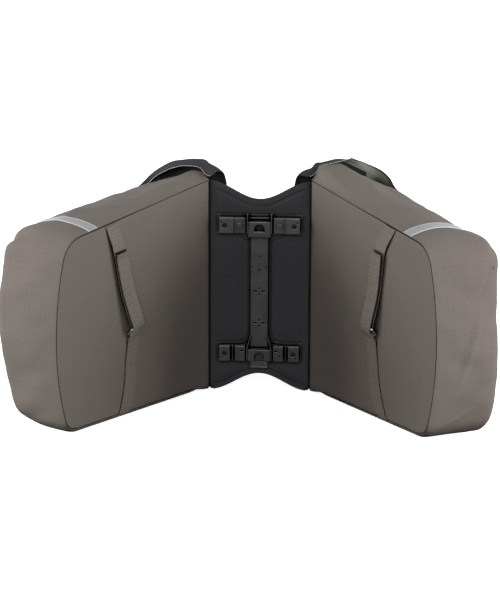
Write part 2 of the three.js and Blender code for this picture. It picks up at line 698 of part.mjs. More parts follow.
// What stands on the adapter's thin base, built on both sides of its middle: from and to across, the
// bar it belongs to, how far it reaches below and above the middle of that bar, and its top
const BAR_HALF = BAR_HEIGHT / 2;
const SIDE_BLOCKS = [
  { from: 41.4, to: PLATE_HALF_WIDTH, bar: UPPER_BAR, below: BAR_HALF, above: BAR_HALF, top: PLATE_TOP },
  { from: 23, to: 40.8, bar: UPPER_BAR, below: BAR_HALF, above: BAR_HALF, top: 13 },
  { from: 18.6, to: 20.2, bar: UPPER_BAR, below: BAR_HALF, above: 19, top: 16 },
  { from: 47.4, to: PLATE_HALF_WIDTH, bar: LOWER_BAR, below: BAR_HALF, above: BAR_HALF, top: PLATE_TOP },
  { from: 42.4, to: 43.8, bar: LOWER_BAR, below: BAR_HALF, above: BAR_HALF, top: 12 },
  { from: 23, to: 39, bar: LOWER_BAR, below: BAR_HALF, above: BAR_HALF, top: 13.5 },
  { from: 18.8, to: 20.4, bar: LOWER_BAR, below: 10.5, above: 9, top: 15.5 },
];
// The box over the upper window and the block over the tongue, in the middle
const MIDDLE_BLOCKS = [
  { half: 18, bar: UPPER_BAR, below: 18.5, above: 6.5, top: 15 },
  { half: 18, bar: LOWER_BAR, below: BAR_HALF, above: 7, top: PLATE_TOP },
];
const BOSS = { x: 32.4, radius: 4.8, sides: 12 };
// Ribs from the lower block, drawn in to the beam
const DRAWN_RIB = { x: 16.6, above: 19.5, thickness: 1.6, length: 24, turn: 0.27 };
// Slots: half the width, the bar, where they begin and end above its middle, and their floor
const MIDDLE_SLOTS = [
  { half: 15, bar: UPPER_BAR, begin: 7.5, end: 10.5, floor: 6 },
  { half: 13, bar: LOWER_BAR, begin: 8.5, end: 12, floor: 7 },
];
const SIDE_SLOTS = [
  { x: 28, half: 2.4, bar: LOWER_BAR, begin: 3.6, end: 6.4, floor: 7 },
  { x: 21.6, half: 1, bar: UPPER_BAR, begin: -9, end: 5, floor: 6 },
];
// Small round holes of the beam and bars: place and radius
const PLATE_HOLES = [
  { x: 0, y: 230.5, radius: 1.6 },
  { x: -11, y: 212, radius: 1.5 },
  { x: 11, y: 212, radius: 1.5 },
  { x: 0, y: 207, radius: 1.4 },
  { x: -61, y: 287, radius: 1.5 },
  { x: 61, y: 287, radius: 1.5 },
  { x: -60, y: 60, radius: 1.5 },
  { x: 60, y: 60, radius: 1.5 },
  { x: 33, y: 63, radius: 1.5 },
];
const HOLE_FLOOR = 6;
// Two cross-shaped sets of holes: their heights, and the places and sizes of the round and long holes
const CROSS_MARKS = { heights: [172, 118.5], round: 5, radius: 1.6, long: 6.5, halfLong: 3, halfHigh: 1.2 };
const SCREW_SEATS = [
  { x: -SCREW_X, y: UPPER_BAR },
  { x: SCREW_X, y: UPPER_BAR },
  { x: -SCREW_X, y: LOWER_BAR },
  { x: SCREW_X, y: LOWER_BAR },
];
const SEAT_RADIUS = 4;
const SEAT_FLOOR = 10;

function adapterPlate() {
  const above = PLATE_TOP + 5; // cutters end here, over everything
  const added = [
    crossBeam(0, PLATE_FOOT, PLATE_BASE),
    block(-BEAM_HALF_WIDTH, LOWER_BAR, BEAM_HALF_WIDTH, UPPER_BAR, PLATE_FOOT, BEAM_TOP),
  ];
  for (const row of MIDDLE_BLOCKS)
    added.push(block(-row.half, row.bar - row.below, row.half, row.bar + row.above, PLATE_FOOT, row.top));
  const cut = [
    archSolid(ARCH.halfWidth, archFoot, ARCH.straight, 0, above),
    archSolid(TONGUE_HALF_WIDTH + CLEARANCE, tongueRoot - 5, TONGUE_STRAIGHT + 0.3, 0, above),
  ];
  for (const { half, bar, begin, end, floor } of MIDDLE_SLOTS)
    cut.push(block(-half, bar + begin, half, bar + end, floor, above));
  for (const { x, y, radius } of PLATE_HOLES) cut.push(drum(x, y, radius, HOLE_FLOOR, above));
  for (const { x, y } of SCREW_SEATS) cut.push(drum(x, y, SEAT_RADIUS, SEAT_FLOOR, above, 12));
  for (const s of [-1, 1]) {
    for (const row of SIDE_BLOCKS) {
      const [x0, x1] = s > 0 ? [row.from, row.to] : [-row.to, -row.from];
      added.push(block(x0, row.bar - row.below, x1, row.bar + row.above, PLATE_FOOT, row.top));
    }
    added.push(drum(s * BOSS.x, UPPER_BAR, BOSS.radius, PLATE_FOOT, PLATE_TOP, BOSS.sides));
    const rib = new THREE.BoxGeometry(DRAWN_RIB.thickness, DRAWN_RIB.length, PLATE_TOP - PLATE_FOOT);
    rib.rotateZ(s * DRAWN_RIB.turn);
    rib.translate(s * DRAWN_RIB.x, LOWER_BAR + DRAWN_RIB.above, (PLATE_TOP + PLATE_FOOT) / 2);
    added.push(solid(rib));
    for (const { x, half, bar, begin, end, floor } of SIDE_SLOTS)
      cut.push(block(s * x - half, bar + begin, s * x + half, bar + end, floor, above));
    const { heights, round, radius, long, halfLong, halfHigh } = CROSS_MARKS;
    for (const y of heights) {
      cut.push(drum(0, y + s * round, radius, HOLE_FLOOR, above));
      const x = s * long;
      cut.push(block(x - halfLong, y - halfHigh, x + halfLong, y + halfHigh, HOLE_FLOOR, above));
    }
  }
  return geometryOf(joined(added).subtract(joined(cut)));
}

// Springy tongue under the lower block, ending in a lipped tab
function latchTongue() {
  const stem = archSolid(TONGUE_HALF_WIDTH, TAB.high - 2, TONGUE_STRAIGHT, PLATE_FOOT, PLATE_BASE);
  const tab = block(-TAB.halfWidth, TAB.low, TAB.halfWidth, TAB.high, CLEARANCE, PLATE_BASE);
  const lip = block(-TAB.halfWidth, TAB.low, TAB.halfWidth, TAB.low + TAB.lip, CLEARANCE, PLATE_BASE + 2);
  return geometryOf(stem.add(tab).add(lip));
}

// A screw head with a round recess, seated in its counterbore
function plateScrew() {
  const profile = [
    [0, 0],
    [3.5, 0],
    [3.5, 1.3],
    [2.7, 2.1],
    [1.3, 2.1],
    [1.1, 1.1],
    [0, 1.1],
  ].map(([r, h]) => new THREE.Vector2(r, h));
  return new THREE.LatheGeometry(profile, 12).rotateX(Math.PI / 2);
}

function makeBridge() {
  const bridge = new THREE.Group();
  bridge.add(
    piece("bridge_panel", bridgePanel(), "black"),
    piece("bridge_hem_upper", bridgeHem(true), "black"),
    piece("bridge_hem_lower", bridgeHem(false), "black"),
    piece("backing_plate", backingPlate(), "backing"),
    piece("adapter_plate", adapterPlate(), "plastic"),
    piece("latch_tongue", latchTongue(), "tongue"),
  );
  SCREW_SEATS.forEach(({ x, y }, n) => {
    const screw = piece(`plate_screw_${n + 1}`, plateScrew(), "plastic");
    screw.position.set(x, y, SEAT_FLOOR + CLEARANCE);
    bridge.add(screw);
  });
  bridge.rotation.x = Math.PI / 2;
  return bridge;
}

// The left bag is the mirror image of the right one, apart from how its cloth hangs
const mirror = new THREE.Group();
mirror.add(makeBag("left"));
mirror.scale.x = -1;

const assembly = new THREE.Group();
assembly.add(makeBridge(), makeBag("right"), mirror);

// The origin lies on the floor, under the middle of the whole
const pannier = new THREE.Group();
pannier.add(assembly);
pannier.updateMatrixWorld(true);
const box = new THREE.Box3().setFromObject(pannier, true);
const middle = box.getCenter(new THREE.Vector3());
assembly.position.set(-middle.x, -middle.y, -box.min.z);

export default pannier;
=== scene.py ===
# %% [markdown]
# A double pannier hangs over the rear carrier of a bicycle: two soft bags, joined by a cloth bridge that
# clicks onto the carrier. Here it stands on its end like an open book, with the bridge at the back of the V.
# The solids of the part are loaded first. They are a fixed frame, in metres, and everything made below
# sits on them.

# %% Load the solids
import math
from functools import partial

import bpy
import numpy as np
from mathutils import Matrix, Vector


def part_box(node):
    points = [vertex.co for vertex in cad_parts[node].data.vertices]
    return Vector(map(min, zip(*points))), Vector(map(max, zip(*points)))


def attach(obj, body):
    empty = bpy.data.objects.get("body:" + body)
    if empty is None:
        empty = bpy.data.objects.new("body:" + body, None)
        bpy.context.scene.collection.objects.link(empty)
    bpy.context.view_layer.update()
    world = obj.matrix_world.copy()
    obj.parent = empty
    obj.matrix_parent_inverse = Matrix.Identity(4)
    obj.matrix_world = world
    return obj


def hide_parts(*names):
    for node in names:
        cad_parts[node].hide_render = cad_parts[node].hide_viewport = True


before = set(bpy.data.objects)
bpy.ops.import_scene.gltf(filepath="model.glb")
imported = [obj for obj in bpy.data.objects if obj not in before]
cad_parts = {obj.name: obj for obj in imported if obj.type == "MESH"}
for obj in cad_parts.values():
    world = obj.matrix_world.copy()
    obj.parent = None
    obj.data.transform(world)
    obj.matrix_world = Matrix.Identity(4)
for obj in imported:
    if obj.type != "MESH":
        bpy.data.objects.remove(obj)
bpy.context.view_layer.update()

# %% [markdown]
# The camera comes early, because every later step is judged through it. It stands four metres away and a
# little above, with a long lens, which keeps the two bags nearly free of perspective. Its axes are written
# straight into the matrix: right, up and back are the three columns of a camera's rotation.

# %% Camera
MM = 0.001
CAMERA = {"elevation": 16.117, "yaw": 3.4, "roll": 0.229, "distance": 4000}
CAMERA_TARGET = (-7.33, 93.32, 153.8)
LENS = 147.75
SENSOR_HEIGHT = 36
SIGHT = 50  # metres
scene = bpy.context.scene


def camera_matrix(elevation, yaw, roll, distance):
    """The place and axes of a camera that looks at the target from a distance in mm."""
    e, y, r = (math.radians(angle) for angle in (elevation, yaw, roll))
    back = np.array([math.sin(y) * math.cos(e), -math.cos(y) * math.cos(e), math.sin(e)])
    level = np.array([math.cos(y), math.sin(y), 0])
    upright = np.cross(back, level)
    right = math.cos(r) * level + math.sin(r) * upright
    up = math.cos(r) * upright - math.sin(r) * level
    place = (np.array(CAMERA_TARGET) + distance * back) * MM
    rows = np.column_stack([right, up, back, place])
    return Matrix([*rows.tolist(), [0, 0, 0, 1]])


lens = bpy.data.cameras.new("camera")
lens.sensor_fit = "VERTICAL"
lens.sensor_height = SENSOR_HEIGHT
lens.lens = LENS
lens.clip_end = SIGHT
camera = bpy.data.objects.new("camera", lens)
camera.matrix_world = camera_matrix(**CAMERA)
scene.collection.objects.link(camera)
scene.camera = camera
print("camera at", [round(x, 3) for x in camera.matrix_world.translation])

# %% [markdown]
# Studio pictures of cloth use big soft lights. A large softbox on each side lights the foot of one bag and
# the far half of the panel opposite, so the V between the bags darkens towards the bridge by itself. A third
# one, in front and a little higher than the camera, opens the shadows, and the white world adds almost
# nothing. A sun lamp would be simpler, but its hard shadows would cut across the cloth.

# %% Light
LIGHTS = [
    {"name": "left_softbox", "place": (-3.0, -0.5, 1.0), "size": 1.8, "watts": 164},
    {"name": "right_softbox", "place": (3.0, -0.45, 1.0), "size": 1.8, "watts": 167},
    {"name": "front_softbox", "place": (0.0, -3.3, 1.6), "size": 2.0, "watts": 100},
]
LIGHT_TARGET = (0, 0, 0.2)
WORLD_STRENGTH = 0.02


def unit(vectors):
    """The same directions with a length of one."""
    return vectors / np.linalg.norm(vectors, axis=-1, keepdims=True)


def aim(place, target):
    """A rotation that looks from place to target."""
    back = unit(np.subtract(place, target))
    right = unit(np.cross([0, 0, 1], back))
    return Matrix(np.column_stack([right, np.cross(back, right), back]).tolist())


for row in LIGHTS:
    lamp = bpy.data.lights.new(row["name"], "AREA")
    lamp.size = row["size"]
    lamp.energy = row["watts"]
    softbox = bpy.data.objects.new(row["name"], lamp)
    softbox.matrix_world = aim(row["place"], LIGHT_TARGET).to_4x4()
    softbox.location = row["place"]
    scene.collection.objects.link(softbox)

world = bpy.data.worlds.new("studio")
world.use_nodes = True
world.node_tree.nodes["Background"].inputs["Color"].default_value = (1, 1, 1, 1)
world.node_tree.nodes["Background"].inputs["Strength"].default_value = WORLD_STRENGTH
scene.world = world
scene.view_settings.view_transform = "Standard"
print("lights:", len(LIGHTS), "and a white world")

# %% [markdown]
# A finish is a material made of nodes. Writing the maths of a weave as separate nodes is hard to read, so
# two small classes turn it into ordinary Python. The first is a Link, a value on its way through the nodes.
# Adding or multiplying Links adds Math nodes, and the reflected forms make 1 - mask work too.

# %% Links


class Link:
    """A value that runs along a wire between two nodes."""

    def __init__(self, finish, socket):
        self.finish = finish
        self.socket = socket

    def output(self, name):
        return Link(self.finish, self.socket.node.outputs[name])

    def __add__(self, other):
        return self.finish.math("ADD", self, other)

    def __sub__(self, other):
        return self.finish.math("SUBTRACT", self, other)

    def __rsub__(self, other):
        return self.finish.math("SUBTRACT", other, self)

    def __mul__(self, other):
        return self.finish.math("MULTIPLY", self, other)

    def __abs__(self):
        return self.finish.math("ABSOLUTE", self)

    __radd__ = __add__
    __rmul__ = __mul__


print("links add, subtract, multiply and lose their sign")

# %% [markdown]
# The second class is a Finish. It holds the material, and its node method makes any other node from a type,
# settings and the values of its sockets. Two methods serve most of the bag: relief turns a height into a
# bumpy surface, and darken paints shade, fading the surface to black where little open space is near, as
# shade falls in a crease. Painting that by hand would have to be done again whenever a piece moves.

# %% Finishes
MIX_COLOURS = (6, 7)  # the two colour sockets of a Mix node
OPENNESS_SAMPLES = 8


class Finish:
    """A material, and the nodes that feed its shader."""

    def __init__(self, name, **constants):
        self.material = bpy.data.materials.new(name)
        self.material.use_nodes = True
        self.tree = self.material.node_tree
        self.shader = self.tree.nodes["Principled BSDF"]
        self.feed(self.shader, constants)

    def feed(self, node, values):
        for name, value in values.items():
            socket = node.inputs[name if isinstance(name, int) else name.replace("_", " ")]
            if isinstance(value, Link):
                self.tree.links.new(value.socket, socket)
            else:
                socket.default_value = value

    def node(self, kind, settings=None, sockets=None):
        node = self.tree.nodes.new(kind)
        for name, value in (settings or {}).items():
            setattr(node, name, value)
        self.feed(node, sockets or {})
        return Link(self, next(s for s in node.outputs if s.enabled))

    def math(self, operation, *values):
        return self.node("ShaderNodeMath", {"operation": operation}, dict(enumerate(values)))

    def clamped(self, value):
        return self.node("ShaderNodeClamp", None, {"Value": value})

    def split(self, vector):
        return self.node("ShaderNodeSeparateXYZ", None, {"Vector": vector})

    def noise(self, scale, detail, **sockets):
        return self.node("ShaderNodeTexNoise", None, {"Scale": scale, "Detail": detail, **sockets})

    def colour_between(self, share, *colours):
        """A colour on the way from the first of two colours to the second."""
        sockets = {"Factor": share}
        for socket, colour in zip(MIX_COLOURS, colours):
            sockets[socket] = colour if isinstance(colour, Link) else (*colour, 1)
        return self.node("ShaderNodeMix", {"data_type": "RGBA"}, sockets)

    def surface(self, **sockets):
        self.feed(self.shader, sockets)

    def relief(self, height, distance, strength, **more):
        values = {"Height": height, "Distance": distance, "Strength": strength, **more}
        self.surface(Normal=self.node("ShaderNodeBump", None, values))

    def openness(self, distance):
        """How much of the space within a distance is open: one on a flat face, little in a hole."""
        settings = {"samples": OPENNESS_SAMPLES}
        return self.node("ShaderNodeAmbientOcclusion", settings, {"Distance": distance}).output("AO")

    def darken(self, openness):
        """Paints shade: fades the surface to a dull black where openness falls from one to nothing."""
        sockets = {"Base_Color": (0, 0, 0, 1), "Specular_IOR_Level": 0, "Roughness": 1}
        black = self.node("ShaderNodeBsdfPrincipled", None, sockets)
        surface = Link(self, self.shader.outputs["BSDF"])
        mix = self.node("ShaderNodeMixShader", None, {0: openness, 1: black, 2: surface})
        self.feed(self.tree.nodes["Material Output"], {"Surface": mix})


def shade(colour, share):
    """A colour made darker or lighter, in plain numbers."""
    return tuple(min(1, c * share) for c in colour)


print("helpers for finishes: Link, Finish and shade")

# %% [markdown]
# The floor and a backdrop far behind it take their finish from the same helpers: nearly white, with a trace
# of mottling. They glow, as lit paper does, but are hidden from soft bounced light, so that they
# don't brighten the bags from below. The backdrop is mirrored in glossy edges that face up, as a pale glint.

# %% Floor
FLOOR_HALF = 12.0
BACKDROP_FAR = 5.0
BACKDROP_HIGH = 6.0
FLOOR_GLOW = 0.8
BACKDROP_GLOW = 4.0
PAPER = [(0.9, 0.9, 0.9), (0.94, 0.94, 0.94)]
PAPER_MOTTLE = {"scale": 3.0, "detail": 2.0}


def board(name, corners, finish, mirrored):
    """A flat piece of the studio, hidden from soft bounced light and, unless mirrored, from reflections."""
    mesh = bpy.data.meshes.new(name)
    mesh.from_pydata(corners, [], [(0, 1, 2, 3)])
    mesh.materials.append(finish)
    piece = bpy.data.objects.new(name, mesh)
    scene.collection.objects.link(piece)
    piece.visible_diffuse = False
    piece.visible_glossy = mirrored


def studio_white(name, glow):
    """Nearly white paper that glows."""
    finish = Finish(name, Roughness=0.9, Emission_Color=(1, 1, 1, 1), Emission_Strength=glow)
    mottle = finish.noise(**PAPER_MOTTLE)
    finish.surface(Base_Color=finish.colour_between(mottle, *PAPER))
    return finish.material


near = [(-FLOOR_HALF, -FLOOR_HALF, 0), (FLOOR_HALF, -FLOOR_HALF, 0)]
far = [(FLOOR_HALF, FLOOR_HALF, 0), (-FLOOR_HALF, FLOOR_HALF, 0)]
board("floor", near + far, studio_white("pale_floor", FLOOR_GLOW), mirrored=False)
low = [(-FLOOR_HALF, BACKDROP_FAR, 0), (FLOOR_HALF, BACKDROP_FAR, 0)]
high = [(FLOOR_HALF, BACKDROP_FAR, BACKDROP_HIGH), (-FLOOR_HALF, BACKDROP_FAR, BACKDROP_HIGH)]
board("backdrop", low + high, studio_white("pale_backdrop", BACKDROP_GLOW), mirrored=True)
print("floor:", 2 * FLOOR_HALF, "m square, backdrop:", BACKDROP_HIGH, "m high")

# %% [markdown]
# The bags and the bridge are all woven polyester. A weave can be painted as an image, or worked out: two
# sets of threads cross, and a checkerboard of signs says which one lies on top. Each thread also has its
# own tint, which gives the slightly uneven, melange look of dyed yarn. The pattern reads a map named
# cloth, in metres, that every piece of fabric gets when it is made, so the threads keep their true size.

# %% Weave
FULLY_OPEN = 0.8  # openness from which no shade falls
CROSSING = 2.5  # how sharply one thread passes over the other
WEFT_SHIFT = 371.0  # threads, so that the weft's tints aren't the warp's
CLOUDS = {"scale": 22.0, "detail": 3.0}
FUZZ = {"scale": 420.0, "detail": 3.0}
MEAN_HEIGHT = 0.64
# painted highlight: the tops of the threads are painted paler, as if lit
HEIGHT_LIGHT = 0.5  # how much paler the tops of the threads are
DARK_THREAD = 0.72
PALE_THREAD = 1.28


def woven(name, colour, pitch, melange, relief, mottle=0.08, grain=0.5, sheen=0.02, roughness=0.9,
          gloss=0.06, crevice=0, shut=0.3):
    """Cloth with threads a pitch apart, with painted shade that turns black where no more than the share shut
    of a crevice is open.
    """
    finish = Finish(name, Roughness=roughness, Sheen_Weight=sheen, Sheen_Roughness=0.5)
    finish.surface(Specular_IOR_Level=gloss)
    # painted shade: darker where little open space lies within the crevice
    if crevice:
        spare = finish.openness(crevice * MM) - shut
        finish.darken(finish.clamped(spare * (1 / (FULLY_OPEN - shut))))
    place = finish.node("ShaderNodeUVMap", {"uv_map": "cloth"})
    split = finish.split(place)
    warp_at, weft_at = (split.output(axis) * (1 / (pitch * MM)) for axis in "XY")
    warp_wave, weft_wave = (finish.math("SINE", at * math.pi) for at in (warp_at, weft_at))
    warp_on_top = finish.clamped(0.5 + CROSSING * (warp_wave * weft_wave))
    weft_on_top = 1 - warp_on_top
    height = abs(warp_wave) * warp_on_top + abs(weft_wave) * weft_on_top
    threads = [finish.math("FLOOR", at) for at in (warp_at, weft_at + WEFT_SHIFT)]
    one_each = {"noise_dimensions": "1D"}
    tints = [finish.node("ShaderNodeTexWhiteNoise", one_each, {"W": thread}) for thread in threads]
    tint = tints[0] * warp_on_top + tints[1] * weft_on_top
    clouds = finish.noise(**CLOUDS, Vector=place)
    fuzz = finish.noise(**FUZZ, Vector=place)
    light = 0.5 + melange * (tint - 0.5) + 2 * mottle * (clouds - 0.5) + 2 * grain * (fuzz - 0.5)
    light = finish.clamped(light + HEIGHT_LIGHT * (height - MEAN_HEIGHT))
    dyed = finish.colour_between(light, shade(colour, DARK_THREAD), shade(colour, PALE_THREAD))
    finish.surface(Base_Color=dyed)
    finish.relief(height, relief * MM, strength=0.5)
    return finish.material


print("threads vary from", DARK_THREAD, "to", PALE_THREAD, "times their dye")

# %% [markdown]
# Each fabric of the bag is the same weave with other numbers: coarse webbing, fine black cloth, and a smooth
# lining. Several get painted shade where little open space is near. The bags' walls look for open space far
# around, so they fade softly towards the floor and under the lids. The inner panels, the lining, the bridge
# and the straps look less far, so their shade stays near creases, beside the straps and round the plate.

# %% Fabrics
TAUPE = (0.1235, 0.1075, 0.0955)
BLACK = (0.035, 0.035, 0.0375)
# a cord's colour made near black, as painted shade in the creases of the seams
DARK_CORD_AND_SHADE = (0.012, 0.010, 0.009)
GREY_GREEN = (0.098, 0.098, 0.084)
taupe_weave = {"pitch": 0.7, "melange": 0.2, "relief": 0.16}
black_weave = {"pitch": 0.6, "melange": 0.3, "relief": 0.12}
coarse_weave = {"pitch": 1.1, "melange": 0.35, "relief": 0.3, "mottle": 0.14, "grain": 1.5}
# crevice and shut set each fabric's painted shade
taupe_cloth = woven("taupe_cloth", TAUPE, **taupe_weave, crevice=45, shut=-1.1)
# the inner panels' cloth is the taupe made darker, as painted shade
panel_cloth = woven("panel_cloth", shade(TAUPE, 0.85), **taupe_weave, crevice=16)
webbing = woven("taupe_webbing", shade(TAUPE, 0.94), **coarse_weave, crevice=9)
black_cloth = woven("black_cloth", BLACK, **black_weave)
bridge_cloth = woven("bridge_cloth", BLACK, **black_weave, crevice=9)
# painted shade: the inside of each lid is near black, where shadow falls
lid_inside_painted_shade = woven("lid_inside_painted_shade", shade(BLACK, 0.25), **black_weave, gloss=0.05)
lid_cloth = woven("lid_cloth", shade(BLACK, 0.85), **black_weave, sheen=0, gloss=0.05)
seam_cord_and_shade = woven("seam_cord_and_shade", DARK_CORD_AND_SHADE, pitch=0.5, melange=0.5, relief=0.1, sheen=0)
lining = woven("lid_lining", GREY_GREEN, pitch=0.45, melange=0.3, relief=0.06, roughness=0.6, crevice=30)
bag_fabrics = [taupe_cloth, panel_cloth, webbing, seam_cord_and_shade]
black_fabrics = [black_cloth, bridge_cloth, lid_cloth, lid_inside_painted_shade, lining]
print("woven finishes:", ", ".join(fabric.name for fabric in bag_fabrics + black_fabrics))

# %% [markdown]
# The hard pieces are moulded plastic and bent wire. Plastic gets a fine grain from noise, both in its
# relief and in how rough it is, because a perfectly even gloss is what makes plastic look false. It gets
# painted shade in its holes and corners, where little open space is near. No moulded edge is truly sharp,
# so edges are rounded in the shading, and those that face up get a painted highlight.

# %% Moulded plastic
CREVICE = 9
SHADE_SLOPE = 2.8
NOTHING_SUNK = 1000  # mm, far behind every face
SUNK_SLOPE = 2000  # a metre, so half a millimetre is enough
HOLE_SHADE = 0.65
LEVEL_SLOPE = 2
SOFT_EDGE = 1.2
EDGE_SAMPLES = 6
GLINT = {"slope": 1.6, "start": 0.15, "open": 0.5, "open_slope": 2.5, "light": 1.4}
PLAIN_LIGHT = 0.14
CLOUD_LIGHT = 0.12
BRIGHTEST = 5  # times the plain colour
GRAIN = {"scale": 1 / (0.9 * MM), "detail": 2.0}
GRAIN_RELIEF = 0.05
BROAD_CLOUDS = {"scale": 45.0, "detail": 3.0}
ROUGH_SPREAD = 0.2


def moulded(name, colour, roughness, floor=NOTHING_SUNK, shut=0.56, shades=()):
    """Grained plastic with painted shade in its crevices, behind the floor of its holes and at the levels in
    shades, and a painted highlight on upward edges.
    """
    finish = Finish(name, Specular_IOR_Level=0.5)
    place = finish.node("ShaderNodeTexCoord").output("Object")
    split = finish.split(place)
    fine = finish.noise(**GRAIN, Vector=place)
    broad = finish.noise(**BROAD_CLOUDS, Vector=place)
    # painted shade: crevices, and by HOLE_SHADE what lies behind the holes' floor, fade to black
    openness = finish.openness(CREVICE * MM)
    sunk = finish.clamped((split.output("Y") - floor * MM) * SUNK_SLOPE)
    finish.darken(finish.clamped((openness - shut) * SHADE_SLOPE) * (1 - HOLE_SHADE * sunk))
    edges = finish.node("ShaderNodeBevel", {"samples": EDGE_SAMPLES}, {"Radius": SOFT_EDGE * MM})
    # painted highlight: edges that face up and stand in the open are made paler
    facing_up = finish.clamped(finish.split(edges).output("Z") * GLINT["slope"] - GLINT["start"])
    in_the_open = finish.clamped((openness - GLINT["open"]) * GLINT["open_slope"])
    light = PLAIN_LIGHT + CLOUD_LIGHT * broad + GLINT["light"] * (facing_up * in_the_open)
    level = split.output("Z") * (1 / MM)
    for row in shades:
        above = finish.clamped((level - row["low"]) * LEVEL_SLOPE)
        below = finish.clamped((row["high"] - level) * LEVEL_SLOPE)
        light = light * (1 - above * below * (1 - row["light"]))
    grey = finish.colour_between(finish.clamped(light), (0, 0, 0), shade(colour, BRIGHTEST))
    finish.surface(Base_Color=grey, Roughness=roughness + ROUGH_SPREAD * (broad - 0.5))
    finish.relief(fine, GRAIN_RELIEF * MM, strength=0.6, Normal=edges)
    return finish.material


print("plastic looks for open space within", CREVICE, "mm")

# %% [markdown]
# Three plastics come from this function. The adapter's is grey, with painted shade behind the floor of its
# holes. The plate behind the adapter is black. The latch tongue is a little bluish, with a painted shadow in
# a thin band across it, where the tab leaves it, and a shaded part above that band. An image could hold such
# marks, but a table of levels needs no unwrapping.

# %% Plastic finishes
# painted shade: what lies deeper than this, in the holes, is darkened
HOLE_FLOOR = 85.4
LATCH_SHADES = [
    # painted shadow of the gap where the tab leaves the tongue
    {"low": 52.6, "high": 55.2, "light": 0.08},
    {"low": 55.2, "high": 70, "light": 0.45},
]
grey_plastic = moulded("grey_plastic", (0.044, 0.044, 0.0445), roughness=0.36, floor=HOLE_FLOOR)
black_plastic = moulded("black_plastic", (0.015, 0.015, 0.0155), roughness=0.45)
latch_plastic = moulded("latch_plastic", (0.046, 0.047, 0.053), roughness=0.4, shut=0.4, shades=LATCH_SHADES)
plastics = [grey_plastic, black_plastic, latch_plastic]
print("moulded finishes:", ", ".join(plastic.name for plastic in plastics))

# %% [markdown]
# The rings of the straps are bright steel wire. Metal shows little colour of its own and mostly mirrors the
# room, so a small change of roughness says more than a change of colour. The noise is fine, because the wire
# is hardly thicker than a match.

# %% Steel wire
WEAR = {"scale": 300.0, "detail": 4.0}
WORN = 0.8
SMOOTH = 0.2
WORN_ROUGH = 0.15


def wire(name, colour):
    """Bright metal, a little dull where it is worn."""
    finish = Finish(name, Metallic=1.0)
    place = finish.node("ShaderNodeTexCoord").output("Object")
    wear = finish.noise(**WEAR, Vector=place)
    finish.surface(Base_Color=finish.colour_between(wear, shade(colour, WORN), colour))
    finish.surface(Roughness=SMOOTH + WORN_ROUGH * wear)
    return finish.material


steel_wire = wire("steel_wire", (0.92, 0.92, 0.90))
print("metal finish:", steel_wire.name)

# %% [markdown]
# Both bags share one set of measurements. A bag has its own axes: u runs from the bridge to the foot, v
# from the inner panel outwards, and z up. Shapes are worked out in these axes in millimetres, and one
# function carries them to their place beside the bridge. The left bag is the mirror image.

# %% Bag axes
BAG_LENGTH = 352
BAG_DEPTH = 131
BRIDGE_WIDTH = 163
SPREAD = math.radians(51.9)
BRIDGE_LOW = 1
SIDES = ("left", "right")
bridge_low, bridge_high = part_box("bridge_panel")
ORIGIN = np.array([(bridge_low.x + bridge_high.x) / 2, bridge_low.y, bridge_low.z - BRIDGE_LOW * MM])


def beside_bridge(points, side):
    """Places in a bag's own u, v and z, in the frame of the whole part."""
    u, v, z = np.moveaxis(np.asarray(points, float), -1, 0)
    x = BRIDGE_WIDTH / 2 + u * math.cos(SPREAD) + v * math.sin(SPREAD)
    y = v * math.cos(SPREAD) - u * math.sin(SPREAD)
    return np.stack([-x if side == "left" else x, y, z], -1) * MM + ORIGIN


def on_bridge(points):
    """Places on the bridge: x across it, y behind its underside and z up, in the frame of the whole part."""
    return np.asarray(points, float) * MM + ORIGIN


def smoothstep(x, low, high):
    """Rises softly from nothing at low to one at high."""
    t = np.clip((x - low) / (high - low), 0, 1)
    return t * t * (3 - 2 * t)


def lerp(a, b, t):
    """A number or a place on the way from a to b."""
    return a + (b - a) * t


print("bridge middle at", np.round(ORIGIN, 4))

# %% [markdown]
# Every piece made below is a mesh from arrays of points and faces. One function turns the arrays into an
# object, lays the map named cloth on it, and lets it ride on the part. Smooth shading hides the facets, and
# edges sharper than an angle stay crisp.

# %% Pieces
SHARP = math.radians(50)


def add_piece(name, points, faces, finishes, weave):
    """An object on the part's body, with its finishes and its cloth map, given in mm."""
    mesh = bpy.data.meshes.new(name)
    mesh.from_pydata(points.tolist(), [], faces)
    mesh.shade_smooth()
    mesh.set_sharp_from_angle(angle=SHARP)
    for finish in finishes:
        mesh.materials.append(finish)
    cloth = mesh.uv_layers.new(name="cloth")
    corner = np.empty(len(mesh.loops), int)
    mesh.loops.foreach_get("vertex_index", corner)
    cloth.uv.foreach_set("vector", (weave[corner] * MM).astype(np.float32).ravel())
    piece = bpy.data.objects.new(name, mesh)
    scene.collection.objects.link(piece)
    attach(piece, "root")
    return piece


def stand_for(node):
    """Hides the solid that a piece takes the place of."""
    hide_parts(node)


def report(piece, note=""):
    """Says what a piece came to."""
    print(f"{piece.name}: {len(piece.data.polygons)} faces", note)


# %% [markdown]
# Most pieces of a bag are walls of cloth: a curved face with a thickness. Blender can thicken a face with
# Solidify, but here the wall is built directly, from a grid of outer points and the same grid moved back
# along its normals, so that the two faces can have different finishes and the edges stay crisp. Flat cloth
# is measured along the middle row and the middle column of the grid.

# %% Walls of cloth


def face_normals(face):
    """Outward directions over a grid: along the rows crossed with along the columns."""
    return unit(np.cross(np.gradient(face, axis=0), np.gradient(face, axis=1)))


def lengths_along(line):
    """How far each point of a line lies along it."""
    steps = np.linalg.norm(np.diff(line, axis=0), axis=1)
    return np.concatenate([[0], np.cumsum(steps)])


def run_lengths(face):
    """How far each grid point lies along the middle row and column."""
    rows, columns = face.shape[:2]
    return np.stack(np.meshgrid(lengths_along(face[rows // 2]), lengths_along(face[:, columns // 2])), -1)


